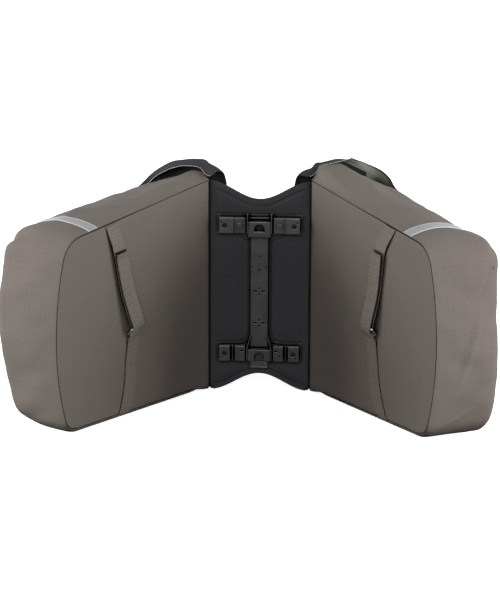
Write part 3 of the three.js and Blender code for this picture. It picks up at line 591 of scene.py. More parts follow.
def wall(name, face, thickness, finishes, place, mirrored=False, weave=None, lined=None):
    """A wall behind a grid of outer points. lined says which finish each face of its back has."""
    rows, columns = face.shape[:2]
    back = face - np.broadcast_to(thickness, (rows, columns))[..., None] * face_normals(face)
    points = np.concatenate([place(face).reshape(-1, 3), place(back).reshape(-1, 3)])
    at = np.arange(rows * columns).reshape(rows, columns)
    front = np.stack([at[:-1, :-1], at[1:, :-1], at[1:, 1:], at[:-1, 1:]], -1).reshape(-1, 4)
    behind = front[:, ::-1] + at.size
    rim = np.concatenate([at[:-1, 0], at[-1, :-1], at[:0:-1, -1], at[0, :0:-1]])
    ahead = np.roll(rim, -1)
    edge = np.stack([rim, rim + at.size, ahead + at.size, ahead], -1)
    faces = np.concatenate([front, behind, edge])
    if mirrored:
        faces = faces[:, ::-1]
    flat = run_lengths(face) if weave is None else weave
    piece = add_piece(name, points, faces.tolist(), finishes, np.concatenate([flat.reshape(-1, 2)] * 2))
    if lined is not None:
        inner = np.zeros(len(faces), np.int32)
        inner[len(front):len(front) + len(behind)] = lined
        piece.data.polygons.foreach_set("material_index", inner)
    return piece


def bag_wall(name, face, thickness, finishes, side, **more):
    """A wall given in the axes of one bag."""
    place = partial(beside_bridge, side=side)
    return wall(name, face, thickness, finishes, place, mirrored=side == "left", **more)


print("walls are built from grids")

# %% [markdown]
# The seam runs round the inner panel: along the lower end, round the foot and back along the upper end.
# Every other shape of the bag hangs on it. It is one line with straight runs and rounded corners. Quadratic
# curves round the corners and bow the foot, because arcs would need their centres worked out first.

# %% Seam line
SEAM_LIFT = 1.6
END_FALL = 0.147
FOOT_DRAW = 17
CORNER = 30
LOW_CORNER = 24
REACH = {"left": 346, "right": 327}
CURVE_STEPS = 160


def quadratic(start, control, end):
    """A curve from start to end that leaves and arrives towards the control."""
    t = np.linspace(0, 1, CURVE_STEPS)[:, None]
    return (1 - t) ** 2 * start + 2 * t * (1 - t) * control + t**2 * end


def end_height(u):
    """Height of the upper end, which falls towards the foot."""
    return BAG_LENGTH - END_FALL * u


def seam_outline(reach):
    """The seam from the lower end of the mouth round to the upper one, as rows of u and z."""
    lower_foot = np.array([reach - FOOT_DRAW, SEAM_LIFT + LOW_CORNER])
    upper_foot = np.array([reach - FOOT_DRAW, end_height(reach - FOOT_DRAW) - CORNER])
    bow = np.array([reach + FOOT_DRAW, (lower_foot[1] + upper_foot[1]) / 2])
    lean = (bow[0] - lower_foot[0]) / (bow[1] - lower_foot[1])
    lower_turn = lower_foot[0] - lean * LOW_CORNER
    upper_turn = upper_foot[0] - lean * CORNER / (1 - END_FALL * lean)
    low_run = np.array([[0, SEAM_LIFT], [lower_turn - LOW_CORNER, SEAM_LIFT]])
    high_run = np.array([[upper_turn - CORNER, end_height(upper_turn - CORNER)], [0, BAG_LENGTH]])
    lower_corner = quadratic(low_run[1], np.array([lower_turn, SEAM_LIFT]), lower_foot)
    foot = quadratic(lower_foot, bow, upper_foot)
    upper_corner = quadratic(upper_foot, np.array([upper_turn, end_height(upper_turn)]), high_run[0])
    return np.concatenate([low_run[:1], lower_corner, foot[1:], upper_corner[1:], high_run[1:]])


print("seams reach", REACH, "mm from the bridge")

# %% [markdown]
# Cloth is sewn to the seam at stations, which are places at shares of its length. Each one knows its u, its
# height and which way is outwards. A curve object could be sampled for them, but its points aren't evenly
# spaced, so lengths along the line are used here. The upper end also bows up a little, on the left bag more
# towards the foot and on the right one more towards the bridge.

# %% Stations on the seam
UPPER_RISE = {"left": {"at_hinge": 1.5, "more": 5.0}, "right": {"at_hinge": 3.4, "more": -1.6}}
RISE_SPAN = (0.4 * BAG_LENGTH, 0.85 * BAG_LENGTH)
LOOK_ALONG = 1.5  # mm to both sides, for the seam's direction


def upper_rise(u, side):
    """How far the upper seam bows up from its straight line."""
    return UPPER_RISE[side]["at_hinge"] + UPPER_RISE[side]["more"] * u / REACH[side]


def at_lengths(line, at):
    """Places at some lengths along a line."""
    length = lengths_along(line)
    return np.stack([np.interp(at, length, values) for values in line.T], -1)


def seam_stations(side, shares):
    """Places on the seam at shares of its length, with their outward directions."""
    line = seam_outline(REACH[side])
    line[:, 1] += upper_rise(line[:, 0], side) * smoothstep(line[:, 1], *RISE_SPAN)
    length = lengths_along(line)[-1]
    at = shares * length
    ahead = at_lengths(line, np.minimum(at + LOOK_ALONG, length))
    behind = at_lengths(line, np.maximum(at - LOOK_ALONG, 0))
    u, z = at_lengths(line, at).T
    way = unit(ahead - behind)
    return {"u": u, "z": z, "share": shares, "out_u": way[:, 1], "out_z": -way[:, 0], "length": length}


SEAM_LENGTH = {side: seam_stations(side, np.zeros(1))["length"] for side in SIDES}
print("seams:", {side: round(SEAM_LENGTH[side]) for side in SIDES}, "mm long")

# %% [markdown]
# The gusset is the strip of cloth round both ends and the foot. On the real bag it sags and puffs, so its
# shape is the seam carried outwards, plus how the bag hangs, plus a few dents. Cloth could be simulated, but
# this bag stands still in one known pose, and a short table puts each dent where it is. The two bags hang
# differently, so each has its own row of numbers.

# %% How the bags hang
HANG = {
    "left": {"lean": 14, "sag_mouth": 23, "sag_foot": -3, "droop": 6, "crest": 9.5},
    "right": {"lean": 4, "sag_mouth": 5, "sag_foot": 6, "droop": 8, "crest": 22.7},
}
CREST_END = {"left": (0.25, 0.56), "right": (0.38, 0.78)}
DENTS = {
    "left": [
        {"along": 0.62, "across": 0.62, "half_along": 0.05, "half_across": 0.4, "depth": 3},
        {"along": 0.42, "across": 0.7, "half_along": 0.05, "half_across": 0.35, "depth": 4},
        {"along": 0.335, "across": 1.0, "half_along": 0.03, "half_across": 0.3, "depth": 6},
    ],
    "right": [
        {"along": 0.72, "across": 0.75, "half_along": 0.012, "half_across": 0.25, "depth": 4},
        {"along": 0.45, "across": 0.45, "half_along": 0.06, "half_across": 0.25, "depth": 3},
        {"along": 0.38, "across": 0.95, "half_along": 0.09, "half_across": 0.4, "depth": -12},
        {"along": 0.64, "across": 0.95, "half_along": 0.045, "half_across": 0.45, "depth": -13},
    ],
}
print("dents:", {side: len(DENTS[side]) for side in SIDES})

# %% [markdown]
# Two more shapes are the same on both bags. The upper end stands up like a cushion between its seams, and the
# cloth bulges below the lower seam, which lifts it off the floor. Both set in with a smoothstep rather than a
# straight ramp, so that no kink shows.

# %% Upper and lower ends
END_ARCH = {"rise": 8.4, "fall": 12, "grows": (0.25, 0.6), "ends": (0.8, 1), "lost": 0.8}
LOW_SEAM = 7.5  # how much higher the lower seam lies than the cloth that bulges below it
LOW_SEAM_START = 50


def seam_rise(station):
    """How far the lower seam is lifted off the floor by the cloth below it."""
    return LOW_SEAM * np.clip(-station["out_z"], 0, 1) * smoothstep(station["u"], 0, LOW_SEAM_START)


def end_arch(share, to_foot):
    """How far the upper end stands up like a cushion between its seams."""
    arch = END_ARCH["rise"] * np.sin(np.pi * np.clip(share, 0, 1)) ** 0.5 - END_ARCH["fall"] * share**3
    at_foot = 1 - END_ARCH["lost"] * smoothstep(to_foot, *END_ARCH["ends"])
    return arch * smoothstep(to_foot, *END_ARCH["grows"]) * at_foot


print("the lower seams are lifted by", LOW_SEAM, "mm")

# %% [markdown]
# One function puts all of this together. Across the strip, the cloth first runs straight out from the seam
# and then rolls into the outer panel. The outer panel and the reflective tape have to meet the gusset, so
# they ask the same function for their places. A sculpted mesh could look as good, but it couldn't be asked.

# %% Smooth face of a gusset
ROLL_RADIUS = 28
ROLL_END = math.radians(60)
FLAT_DEPTH = BAG_DEPTH - ROLL_RADIUS
FOOT_PUFF = 7
END_PUFF = 2.4
DROOP_RUN = 70
CREST_RISE = 0.15
CREST_REACH = 0.5
LEAN_FULL = 0.6 * BAG_LENGTH
MOUTH_LIFT = 6.5
MOUTH_RUN = 60
LOW_SEAM_RUN = 4


def gusset_points(station, depth, roll, side):
    """The gusset's smooth outer face. depth runs out from the seam, roll is the turn of its outer edge."""
    hang = HANG[side]
    v = np.where(roll > 0, FLAT_DEPTH + ROLL_RADIUS * np.sin(roll), depth)
    share = v / BAG_DEPTH
    puff = lerp(FOOT_PUFF, END_PUFF, np.abs(station["out_z"]))
    out = puff * np.sin(np.pi * np.clip(share, 0, 1)) - ROLL_RADIUS * (1 - np.cos(roll))
    for dent in DENTS[side]:
        a = (station["share"] - dent["along"]) / dent["half_along"]
        b = (share - dent["across"]) / dent["half_across"]
        out = out - dent["depth"] * np.exp(-a * a - b * b)
    to_foot = np.clip(station["u"] / REACH[side], 0, 1)
    droop = hang["droop"] * (1 - smoothstep(station["u"], 0, DROOP_RUN))
    sag = (lerp(hang["sag_mouth"], hang["sag_foot"], to_foot) + droop) * share**2
    crest = hang["crest"] * smoothstep(share, 0, CREST_RISE) * (1 - smoothstep(share, *CREST_END[side]))
    crest = crest * (1 - smoothstep(to_foot, 0, CREST_REACH))
    lean = hang["lean"] * share * to_foot * np.minimum(1, station["z"] / LEAN_FULL)
    u = np.maximum(0, station["u"] + station["out_u"] * out + lean)
    lift = np.maximum(0, station["out_z"]) * (crest + end_arch(share, to_foot) - sag)
    z = station["z"] + station["out_z"] * out + lift
    floor_line = MOUTH_LIFT * (1 - smoothstep(station["u"], 0, MOUTH_RUN))
    z = np.maximum(z, floor_line) + seam_rise(station) * np.exp(-v / LOW_SEAM_RUN)
    return np.stack(np.broadcast_arrays(u, v, z), -1)


print("a gusset's outer edge is rolled with a radius of", ROLL_RADIUS, "mm")

# %% [markdown]
# Folds are low ridges and hollows drawn as line segments on the cloth: a start, an end, a width and a
# height. Starts and ends are shares of the gusset's length and width, so a fold keeps its place if the bag's
# size changes. Sculpting would give freer folds, but a table can be compared with a picture row by row.

# %% Folds
FOLDS = {
    "left": [
        {"start": (0.668, 0.62), "end": (0.655, 1.2), "half": 10, "rise": -8.0},
        {"start": (0.625, 0.75), "end": (0.63, 1.2), "half": 8, "rise": 1.2},
        {"start": (0.61, 0.55), "end": (0.64, 0.95), "half": 7, "rise": 1.2},
        {"start": (0.37, 0.30), "end": (0.33, 0.85), "half": 12, "rise": -2.8},
        {"start": (0.46, 0.60), "end": (0.52, 0.95), "half": 12, "rise": 2.2},
        {"start": (0.70, 0.45), "end": (0.83, 0.75), "half": 9, "rise": 2.0},
        {"start": (0.86, 0.30), "end": (0.95, 0.65), "half": 8, "rise": -1.2},
        {"start": (0.10, 0.40), "end": (0.28, 0.70), "half": 12, "rise": -1.0},
    ],
    "right": [
        {"start": (0.62, 0.72), "end": (0.67, 0.97), "half": 8, "rise": -2.6},
        {"start": (0.58, 0.62), "end": (0.63, 0.80), "half": 4, "rise": -0.9},
        {"start": (0.35, 0.18), "end": (0.385, 0.62), "half": 5, "rise": 2.4},
        {"start": (0.37, 0.15), "end": (0.42, 0.62), "half": 8, "rise": -2.2},
        {"start": (0.43, 0.35), "end": (0.55, 0.62), "half": 8, "rise": 2.4},
        {"start": (0.48, 0.70), "end": (0.56, 0.95), "half": 10, "rise": -2.6},
        {"start": (0.86, 0.28), "end": (0.94, 0.60), "half": 6, "rise": 1.0},
        {"start": (0.12, 0.35), "end": (0.27, 0.75), "half": 12, "rise": -1.0},
    ],
}
FOLD_TIPS = (0.02, 0.98)
GUSSET_WIDTH = FLAT_DEPTH + ROLL_RADIUS * ROLL_END


def fold_relief(along, across, folds, length):
    """Height of a set of folds at places along and across a gusset, in mm."""
    height = np.zeros(np.broadcast(along, across).shape)
    for fold in folds:
        start, end = (np.array(fold[tip]) * (length, GUSSET_WIDTH) for tip in ("start", "end"))
        way = end - start
        t = np.clip(((along - start[0]) * way[0] + (across - start[1]) * way[1]) / (way @ way), 0, 1)
        off = np.hypot(along - start[0] - t * way[0], across - start[1] - t * way[1])
        fade = np.sqrt(np.sin(np.pi * np.clip(t, *FOLD_TIPS)))
        height += fold["rise"] * np.exp(-((off / fold["half"]) ** 2)) * fade
    return height


print("folds:", {side: len(FOLDS[side]) for side in SIDES})

# %% [markdown]
# Swells are long slow waves, so that no stretch of cloth is quite flat. Puckers are the small waves that
# thread pulls into cloth beside a seam, and right at the seam the cloth turns down into it. A noise texture
# would do for the swells, but it can't follow a seam. All heights go along the normals of the smooth face.

# %% Swells and puckers
SWELLS = [
    {"along": 97, "across": 150, "turn": 0.4, "height": 0.55},
    {"along": 61, "across": 83, "turn": 2.1, "height": 0.35},
    {"along": 37, "across": 260, "turn": 1.3, "height": 0.22},
]
SWELL_RUN = 40
PUCKER = {"height": 0.3, "length": 9.5, "reach": 8}
WANDER = [{"by": 2.2, "run": 23, "turn": 0}, {"by": 1.4, "run": 41, "turn": 1}]
LIP = 0.55  # how far the cloth turns into a seam
LIP_RUN = 1.3


def swell_relief(along, across):
    """Height of the slow waves."""
    height = 0
    for wave in SWELLS:
        turn = 2 * np.pi * (along / wave["along"] + across / wave["across"]) + wave["turn"]
        height = height + wave["height"] * np.sin(turn)
    return height


def pucker_relief(along, from_seam):
    """Height of the small waves that fade with the distance from a seam."""
    wander = sum(row["by"] * np.sin(along / row["run"] + row["turn"]) for row in WANDER)
    wave = np.sin(2 * np.pi * (along + wander) / PUCKER["length"])
    return PUCKER["height"] * wave * np.exp(-from_seam / PUCKER["reach"])


def lip_relief(from_seam):
    """How the cloth turns down into a seam."""
    return -LIP * np.exp(-from_seam / LIP_RUN)


def cloth_relief(side, along, across):
    """Folds, swells and the puckers beside the inner seam, at places along and across a gusset."""
    height = fold_relief(along, across, FOLDS[side], SEAM_LENGTH[side])
    height = height + swell_relief(along, across) * smoothstep(across, 0, SWELL_RUN)
    return height + pucker_relief(along, across)


print("swells:", len(SWELLS), "and puckers every", PUCKER["length"], "mm")

# %% [markdown]
# A gusset is one long strip, so its grid has columns along the seam and rows across the strip. The rows lie
# close together beside the seam, where the cloth turns sharply, and again round the rolled outer edge. Even
# rows would need far more faces for the same crisp edge. Cloth that lies on the floor keeps no folds.

# %% Gussets
CLOTH = 2
GUSSET_COLUMNS = 320
FIRST_ROW = 0.7
NEAR_SEAM = 14
ROWS = {"near_seam": 15, "flat": 34, "rolled": 13}
PUCKER_SHIFT = 5
FLOOR_RUN = (4, 16)
near_seam = np.geomspace(FIRST_ROW, NEAR_SEAM, ROWS["near_seam"])
flat_run = np.linspace(NEAR_SEAM, FLAT_DEPTH, ROWS["flat"])[1:]
rolled = np.linspace(0, ROLL_END, ROWS["rolled"])[1:]
GUSSET_DEPTH = np.concatenate([near_seam, flat_run, np.full(len(rolled), FLAT_DEPTH)])[:, None]
GUSSET_ROLL = np.concatenate([np.zeros(len(near_seam) + len(flat_run)), rolled])[:, None]


def gusset_face(side):
    """The gusset's outer face with its folds, rows across the strip and columns along the seam."""
    station = seam_stations(side, np.linspace(0, 1, GUSSET_COLUMNS + 1))
    face = gusset_points(station, GUSSET_DEPTH, GUSSET_ROLL, side)
    along = (station["share"] * station["length"])[None, :]
    across = GUSSET_DEPTH + ROLL_RADIUS * GUSSET_ROLL
    to_panel = GUSSET_WIDTH - across
    height = cloth_relief(side, along, across) + pucker_relief(along + PUCKER_SHIFT, to_panel)
    on_floor = np.clip(-station["out_z"], 0, 1)[None, :] * smoothstep(across, *FLOOR_RUN)
    height = height * (1 - on_floor) + lip_relief(across) + lip_relief(to_panel)
    face = face + face_normals(face) * height[..., None]
    face[..., [0, 2]] = np.maximum(face[..., [0, 2]], 0)
    return face


gusset_faces = {side: gusset_face(side) for side in SIDES}
for side in SIDES:
    gusset = bag_wall(f"{side}_gusset_cloth", gusset_faces[side], CLOTH, [taupe_cloth], side)
    stand_for(f"{side}_gusset")
    size = (SEAM_LENGTH[side] * MM, GUSSET_WIDTH * MM)
    report(gusset, f"cut {size[0]:.2f} by {size[1]:.3f} m")

# %% [markdown]
# The panels fill the outline of a seam. A grid that fills a four-sided outline is a Coons patch: blend the
# two pairs of opposite edges, and take away the corners that were counted twice. Filling the outline with
# one big face would be quicker, but such a face can't swell or turn into its seams.

# %% Patches
PANEL_STEPS = 96
PANEL_SHARES = np.linspace(0, 1, 3 * PANEL_STEPS + 1)


def patch(edges):
    """A grid between four edges of equal counts: lower, upper, first and last."""
    lower, upper, first, last = edges
    q = np.linspace(0, 1, len(first))[:, None, None]
    p = np.linspace(0, 1, len(lower))[None, :, None]
    ends = (1 - q) * lower[None] + q * upper[None]
    sides = (1 - p) * first[:, None] + p * last[:, None]
    double = (1 - q) * ((1 - p) * lower[0] + p * lower[-1]) + q * ((1 - p) * upper[0] + p * upper[-1])
    return ends + sides - double


def thirds(line):
    """The lower edge, upper edge, mouth and foot of a line that runs round three sides of a bag."""
    n = (len(line) - 1) // 3
    t = np.linspace(0, 1, n + 1)[:, None]
    mouth = (1 - t) * line[0] + t * line[-1]
    return line[: n + 1], line[: 2 * n - 1 : -1], mouth, line[n : 2 * n + 1]


def edge_distance(grid):
    """Rough distance in mm of each grid point from the nearest edge of its patch."""
    edges = (grid[:1], grid[-1:], grid[:, :1], grid[:, -1:])
    return np.min([np.linalg.norm(grid - edge, axis=-1) for edge in edges], axis=0)


print("a panel's grid has", PANEL_STEPS, "steps each way")

# %% [markdown]
# The inner panel is cloth over a stiff board, so it lies nearly flat against the wheel side, with slow waves
# of less than a millimetre. The outer panel is cloth alone, and what is in the bag swells it. Its edges are
# the rolled edges of the gusset, so it starts from the same function.

# %% Panels
BOARD = 2.5
PANEL_INSET = 1.0
HINGE_INSET = 1.8
BOARD_SWELL = 0.45
BOARD_WAVES = [{"height": 0.3, "u": 47, "z": 90}, {"height": 0.15, "u": math.inf, "z": 31}]
BOARD_RUN = 30
PANEL_ROLL = math.radians(64)
CROWN = 6
CROWN_RUN = 50


def inner_panel(side):
    """The stiff panel towards the wheel."""
    station = seam_stations(side, PANEL_SHARES)
    u = np.maximum(HINGE_INSET, station["u"] - station["out_u"] * PANEL_INSET)
    z = station["z"] + seam_rise(station) - station["out_z"] * PANEL_INSET
    grid = patch(thirds(np.stack([u, np.zeros_like(u), z], -1)))
    off = edge_distance(grid)
    swell = BOARD_SWELL
    for row in BOARD_WAVES:
        swell = swell + row["height"] * np.sin(grid[..., 0] / row["u"] + grid[..., 2] / row["z"])
    grid[..., 1] = swell * smoothstep(off, 0, BOARD_RUN) - lip_relief(off)
    grid = np.swapaxes(grid, 0, 1)
    piece = bag_wall(f"{side}_inner_panel_cloth", grid, BOARD, [panel_cloth], side, weave=grid[..., [2, 0]])
    stand_for(f"{side}_inner_panel")
    report(piece)


def outer_panel(side):
    """The soft panel away from the wheel."""
    station = seam_stations(side, PANEL_SHARES)
    grid = patch(thirds(gusset_points(station, FLAT_DEPTH, np.full(len(PANEL_SHARES), PANEL_ROLL), side)))
    q = np.linspace(0, 1, PANEL_STEPS + 1)[:, None]
    p = np.linspace(0, 1, PANEL_STEPS + 1)[None, :]
    swell = (1 - (2 * q - 1) ** 4) * (1 - p**4)
    grid[..., 1] = lerp(grid[..., 1], BAG_DEPTH + CROWN * np.sin(np.pi * p), swell)
    off = edge_distance(grid)
    relief = swell_relief(grid[..., 0], grid[..., 2]) * smoothstep(off, 0, CROWN_RUN)
    relief = relief + pucker_relief(grid[..., 0] + grid[..., 2], off) + lip_relief(off)
    flat = grid[..., [0, 2]]
    grid = grid + face_normals(grid) * relief[..., None]
    grid[..., 2] = np.maximum(grid[..., 2], 0)
    piece = bag_wall(f"{side}_outer_panel_cloth", grid, CLOTH, [taupe_cloth], side, weave=flat)
    stand_for(f"{side}_outer_panel")
    report(piece)


for side in SIDES:
    inner_panel(side)
    outer_panel(side)

# %% [markdown]
# A cord lies in the seam between the inner panel and the gusset. Its near-black colour is painted shade for
# the crease of the seam, so it shows as a thin dark line. Sweeping a circle along a line gives a tube, and
# the same helper makes the wire rings later. A curve object with a bevel would do it too, but a mesh gets its
# cloth map here. The circle is turned by two directions that stay square to the line.

# %% Piping
TUBE_SIDES = 12
SQUARE_TO = np.array([0.0, 1.0, 0.0])
PIPING_INSET = 0.8
PIPING_RADIUS = 0.62
PIPING_SHARES = np.linspace(0.002, 0.998, 360)


def tube(name, line, radius, finish, side, closed=False):
    """A round tube along a line of points in mm, in the axes of one bag."""
    way = np.roll(line, -1, 0) - np.roll(line, 1, 0) if closed else np.gradient(line, axis=0)
    way = unit(way)
    first = unit(np.cross(way, SQUARE_TO))
    second = np.cross(first, way)
    turn = np.linspace(0, 2 * np.pi, TUBE_SIDES, endpoint=False)
    ring = np.cos(turn)[None, :, None] * first[:, None] + np.sin(turn)[None, :, None] * second[:, None]
    points = beside_bridge(line[:, None] + radius * ring, side).reshape(-1, 3)
    at = np.arange(len(points)).reshape(-1, TUBE_SIDES)
    loop = np.concatenate([at, at[:1]]) if closed else at
    a, b = loop[:-1], loop[1:]
    faces = np.stack([a, np.roll(a, -1, 1), np.roll(b, -1, 1), b], -1).reshape(-1, 4).tolist()
    if not closed:
        faces += [at[0].tolist()[::-1], at[-1].tolist()]
    if side == "left":
        faces = [face[::-1] for face in faces]
    weave = np.stack(np.broadcast_arrays(lengths_along(line)[:, None], radius * turn[None, :]), -1)
    return add_piece(name, points, faces, [finish], weave.reshape(-1, 2))


for side in SIDES:
    station = seam_stations(side, PIPING_SHARES)
    u = station["u"] - station["out_u"] * PIPING_INSET
    z = station["z"] + seam_rise(station) - station["out_z"] * PIPING_INSET
    line = np.stack([u, np.full_like(u, PIPING_INSET), z], -1)
    piping = tube(f"{side}_seam_cord_and_shade", line, PIPING_RADIUS, seam_cord_and_shade, side)
    stand_for(f"{side}_piping")
    report(piping)

# %% [markdown]
# Each bag turns about the seam that joins its panel to the bridge. The panel and the bridge both curve into
# it, and a near-black tube at the bottom is painted shade for that crease, so it shows as a dark line down
# each side of the bridge. A straight tube is enough for it, because only a sliver can be seen.

# %% Hinge seams
HINGE = {"radius": 1.3, "u": 0.1, "v": 1.7, "low": 4, "high": BAG_LENGTH - 1}
HINGE_POINTS = 120
for side in SIDES:
    z = np.linspace(HINGE["low"], HINGE["high"], HINGE_POINTS)
    line = np.stack([np.full_like(z, HINGE["u"]), np.full_like(z, HINGE["v"]), z], -1)
    report(tube(f"{side}_hinge_seam_shade", line, HINGE["radius"], seam_cord_and_shade, side))

# %% [markdown]
# A lid or a strap bends smoothly, so its table has a few rows and a curve passes through all of them.
# Blender's curve objects can do that too, but their points would have to be read back. A centripetal
# Catmull-Rom curve is a few lines of arithmetic, makes no loops between close rows, and takes rows of any
# length.

# %% Smooth curves
TINY = 1e-4


def through(rows, t):
    """A centripetal Catmull-Rom curve through rows of numbers, at shares of its way."""
    rows = np.asarray(rows, float)
    ends = np.concatenate([[2 * rows[0] - rows[1]], rows, [2 * rows[-1] - rows[-2]]])
    at = np.clip(t, 0, 1) * (len(rows) - 1)
    k = np.minimum(at.astype(int), len(rows) - 2)
    w = (at - k)[:, None]
    p0, p1, p2, p3 = (ends[k + n] for n in range(4))
    d0, d1, d2 = (np.linalg.norm(b - a, axis=1)[:, None] ** 0.5 for a, b in ((p0, p1), (p1, p2), (p2, p3)))
    d1 = np.where(d1 < TINY, 1, d1)
    d0 = np.where(d0 < TINY, d1, d0)
    d2 = np.where(d2 < TINY, d1, d2)
    m1 = d1 * ((p1 - p0) / d0 - (p2 - p0) / (d0 + d1) + (p2 - p1) / d1)
    m2 = d1 * ((p2 - p1) / d1 - (p3 - p1) / (d1 + d2) + (p3 - p2) / d2)
    bend = 3 * (p2 - p1) - 2 * m1 - m2
    twist = 2 * (p1 - p2) + m1 + m2
    return p1 + m1 * w + bend * w**2 + twist * w**3


print("curves pass through every row of their tables")

# %% [markdown]
# The lid is one sheet of black cloth from behind the bridge, over the mouth of the bag and down its outer
# side, with both ends folded over as skirts. A table gives its route, seen from above, and the lower skirt,
# which are the same on both bags. A plane bent by a curve would be quicker, but the skirts change their width
# and their tuck on the way.

# %% Lid route
BRIDGE_THICKNESS = 5
CLEARANCE = 0.3
FLAP_GAP = 1
FLAP_OVER = BAG_DEPTH + CROWN + CLOTH + FLAP_GAP


def behind_bridge(x, lift):
    """A place on the lid behind the bridge, x across from the hinge line, as u and v."""
    y = BRIDGE_THICKNESS + CLEARANCE + CLOTH + lift
    return x * math.cos(SPREAD) - y * math.sin(SPREAD), x * math.sin(SPREAD) + y * math.cos(SPREAD)


# u, v, height of the lower fold, lower skirt's width, and the angle by which it is tucked
LID_ROUTE = {
    "end": (*behind_bridge(-27.5, 0), 14, 4.5, 0),
    "root": (*behind_bridge(-24, 0), 12, 5, 0),
    "lap": (*behind_bridge(-12, 0.1), 9, 6, 0),
    "hinge": (*behind_bridge(-1, 1.2), 8, 7, 0),
    "corner": (-10.5, 15, 4, 13, 45),
    "inner": (-13, 28, 1.4, 20, 90),
    "middle": (-16, 58, 1.4, 20, 90),
    "turn": (-15.5, 76, 1.4, 20, 90),
    "outer": (-14, 92, 1.4, 20, 90),
    "shoulder": (-5, BAG_DEPTH + 3, 1.6, 12, 90),
    "flap": (28, FLAP_OVER, 9, 6, 88),
    "hem": (96, FLAP_OVER, 12, 5, 88),
}
print("lid route:", len(LID_ROUTE), "places")

# %% [markdown]
# A second table gives the upper end of each lid at the same places. On the left bag its skirt is tucked in,
# and on the right one it stands open towards the outer side. A tuck of 0 degrees lets the cloth stand up, 90
# lays the skirt level towards the bag, more turns it down, and less than 0 turns it outwards.

# %% Lid ends
# Upper fold's height over the bag's length, upper skirt's width, and its tuck
LID_ENDS = {
    "left": {
        "end": (-4, 4.5, 77),
        "root": (10, 5, 78),
        "lap": (21.7, 14, 110),
        "hinge": (28.4, 21.5, 166),
        "corner": (31.5, 16.3, 150),
        "inner": (30.5, 18.7, 129),
        "middle": (25.2, 21, 118),
        "turn": (21, 23, 119),
        "outer": (17.3, 23, 127),
        "shoulder": (-8, 15, 140),
        "flap": (-30.4, 4.5, 99),
        "hem": (-37.5, 5.5, 88),
    },
    "right": {
        "end": (-12, 4.5, 79),
        "root": (6, 5, 79),
        "lap": (19.1, 14.7, 121),
        "hinge": (23.5, 13.6, 160),
        "corner": (29.7, 9.3, 116),
        "inner": (27.5, 17.4, 93),
        "middle": (28.7, 21, 90),
        "turn": (25.6, 16, 79),
        "outer": (17.2, 9.7, 30),
        "shoulder": (-7.4, 15.8, -40),
        "flap": (-27, 14.6, -8),
        "hem": (-40, 6, 60),
    },
}
print("tucks at the shoulder:", {side: LID_ENDS[side]["shoulder"][-1] for side in SIDES}, "degrees")

# %% [markdown]
# Each section of the lid starts at the lower skirt's edge, turns round the lower fold, climbs the bag and
# turns over the upper fold. Sections that follow their rows exactly look like bent card, so neighbours are
# averaged a number of times, as cloth evens out a sharp bend. The open end of the right lid is crumpled by
# a wave in its tuck.

# %% Shape of a lid
LID_STEPS = 165
LID_FLOOR = 0.4
LID_SOFTENING = 22
CLIMB_ROWS = 60
FOLD_RADIUS = 4
FOLD_LENGTH = 6.4
FOLD_STEPS = 9
CRUMPLE = {"left": 0, "right": 22}  # degrees
CRUMPLE_WAVES = 11
CRUMPLE_GROWS = (0.66, 0.74)
CRUMPLE_ENDS = (0.9, 0.97)


def folded_end(heights, skirts, tucks, up):
    """The bend and skirt at one end of each section: how far they go towards the bag, and their heights."""
    turn = np.radians(tucks)[:, None]
    share = np.concatenate([(np.arange(FOLD_STEPS) + 0.5) / FOLD_STEPS, np.ones(FOLD_STEPS)])[None, :]
    bend = np.full((len(tucks), FOLD_STEPS), FOLD_LENGTH / FOLD_STEPS)
    plain = np.maximum(1, skirts - FOLD_LENGTH / 2)[:, None] / FOLD_STEPS
    length = np.concatenate([bend, np.repeat(plain, FOLD_STEPS, 1)], 1)
    start = np.zeros((len(tucks), 1))
    to_bag = np.concatenate([start, np.cumsum(length * np.sin(share * turn), 1)], 1)
    beyond = np.concatenate([start, np.cumsum(length * np.cos(share * turn), 1)], 1) - FOLD_RADIUS
    return to_bag, heights[:, None] + up * beyond


def lid_face(side):
    """The lid's outer face: rows from the lower skirt to the upper one, columns along its route."""
    t = np.linspace(0, 1, LID_STEPS + 1)
    rows = np.array(list(LID_ROUTE.values()))
    ends = np.array(list(LID_ENDS[side].values()))
    route = through(rows[:, :2], t)
    low = through(rows[:, 2:], t)
    high = through(ends + [BAG_LENGTH, 0, 0], t)
    open_end = smoothstep(t, *CRUMPLE_GROWS) * (1 - smoothstep(t, *CRUMPLE_ENDS))
    high[:, 2] += CRUMPLE[side] * np.sin(2 * np.pi * CRUMPLE_WAVES * t) * open_end
    ahead, behind = (through(rows[:, :2], np.clip(t + step, 0, 1)) for step in (TINY, -TINY))
    way = unit(ahead - behind)
    inward = np.stack([way[:, 1], -way[:, 0]], -1)
    low_in, low_z = folded_end(*low.T, -1)
    high_in, high_z = folded_end(*high.T, 1)
    middle_z = lerp(low_z[:, :1], high_z[:, :1], np.linspace(0, 1, CLIMB_ROWS)[None, 1:-1])
    z = np.concatenate([low_z[:, ::-1], middle_z, high_z], 1)
    to_bag = np.concatenate([low_in[:, ::-1], np.zeros_like(middle_z), high_in], 1)
    plan = route[:, None] + to_bag[..., None] * inward[:, None]
    face = np.concatenate([plan, np.maximum(z, LID_FLOOR)[..., None]], -1)
    for _ in range(LID_SOFTENING):
        face[1:-1] = (face[:-2] + 2 * face[1:-1] + face[2:]) / 4
    return np.swapaxes(face, 0, 1)


lid_faces = {side: lid_face(side) for side in SIDES}
print("lid grids:", {side: lid_faces[side].shape[:2] for side in SIDES})
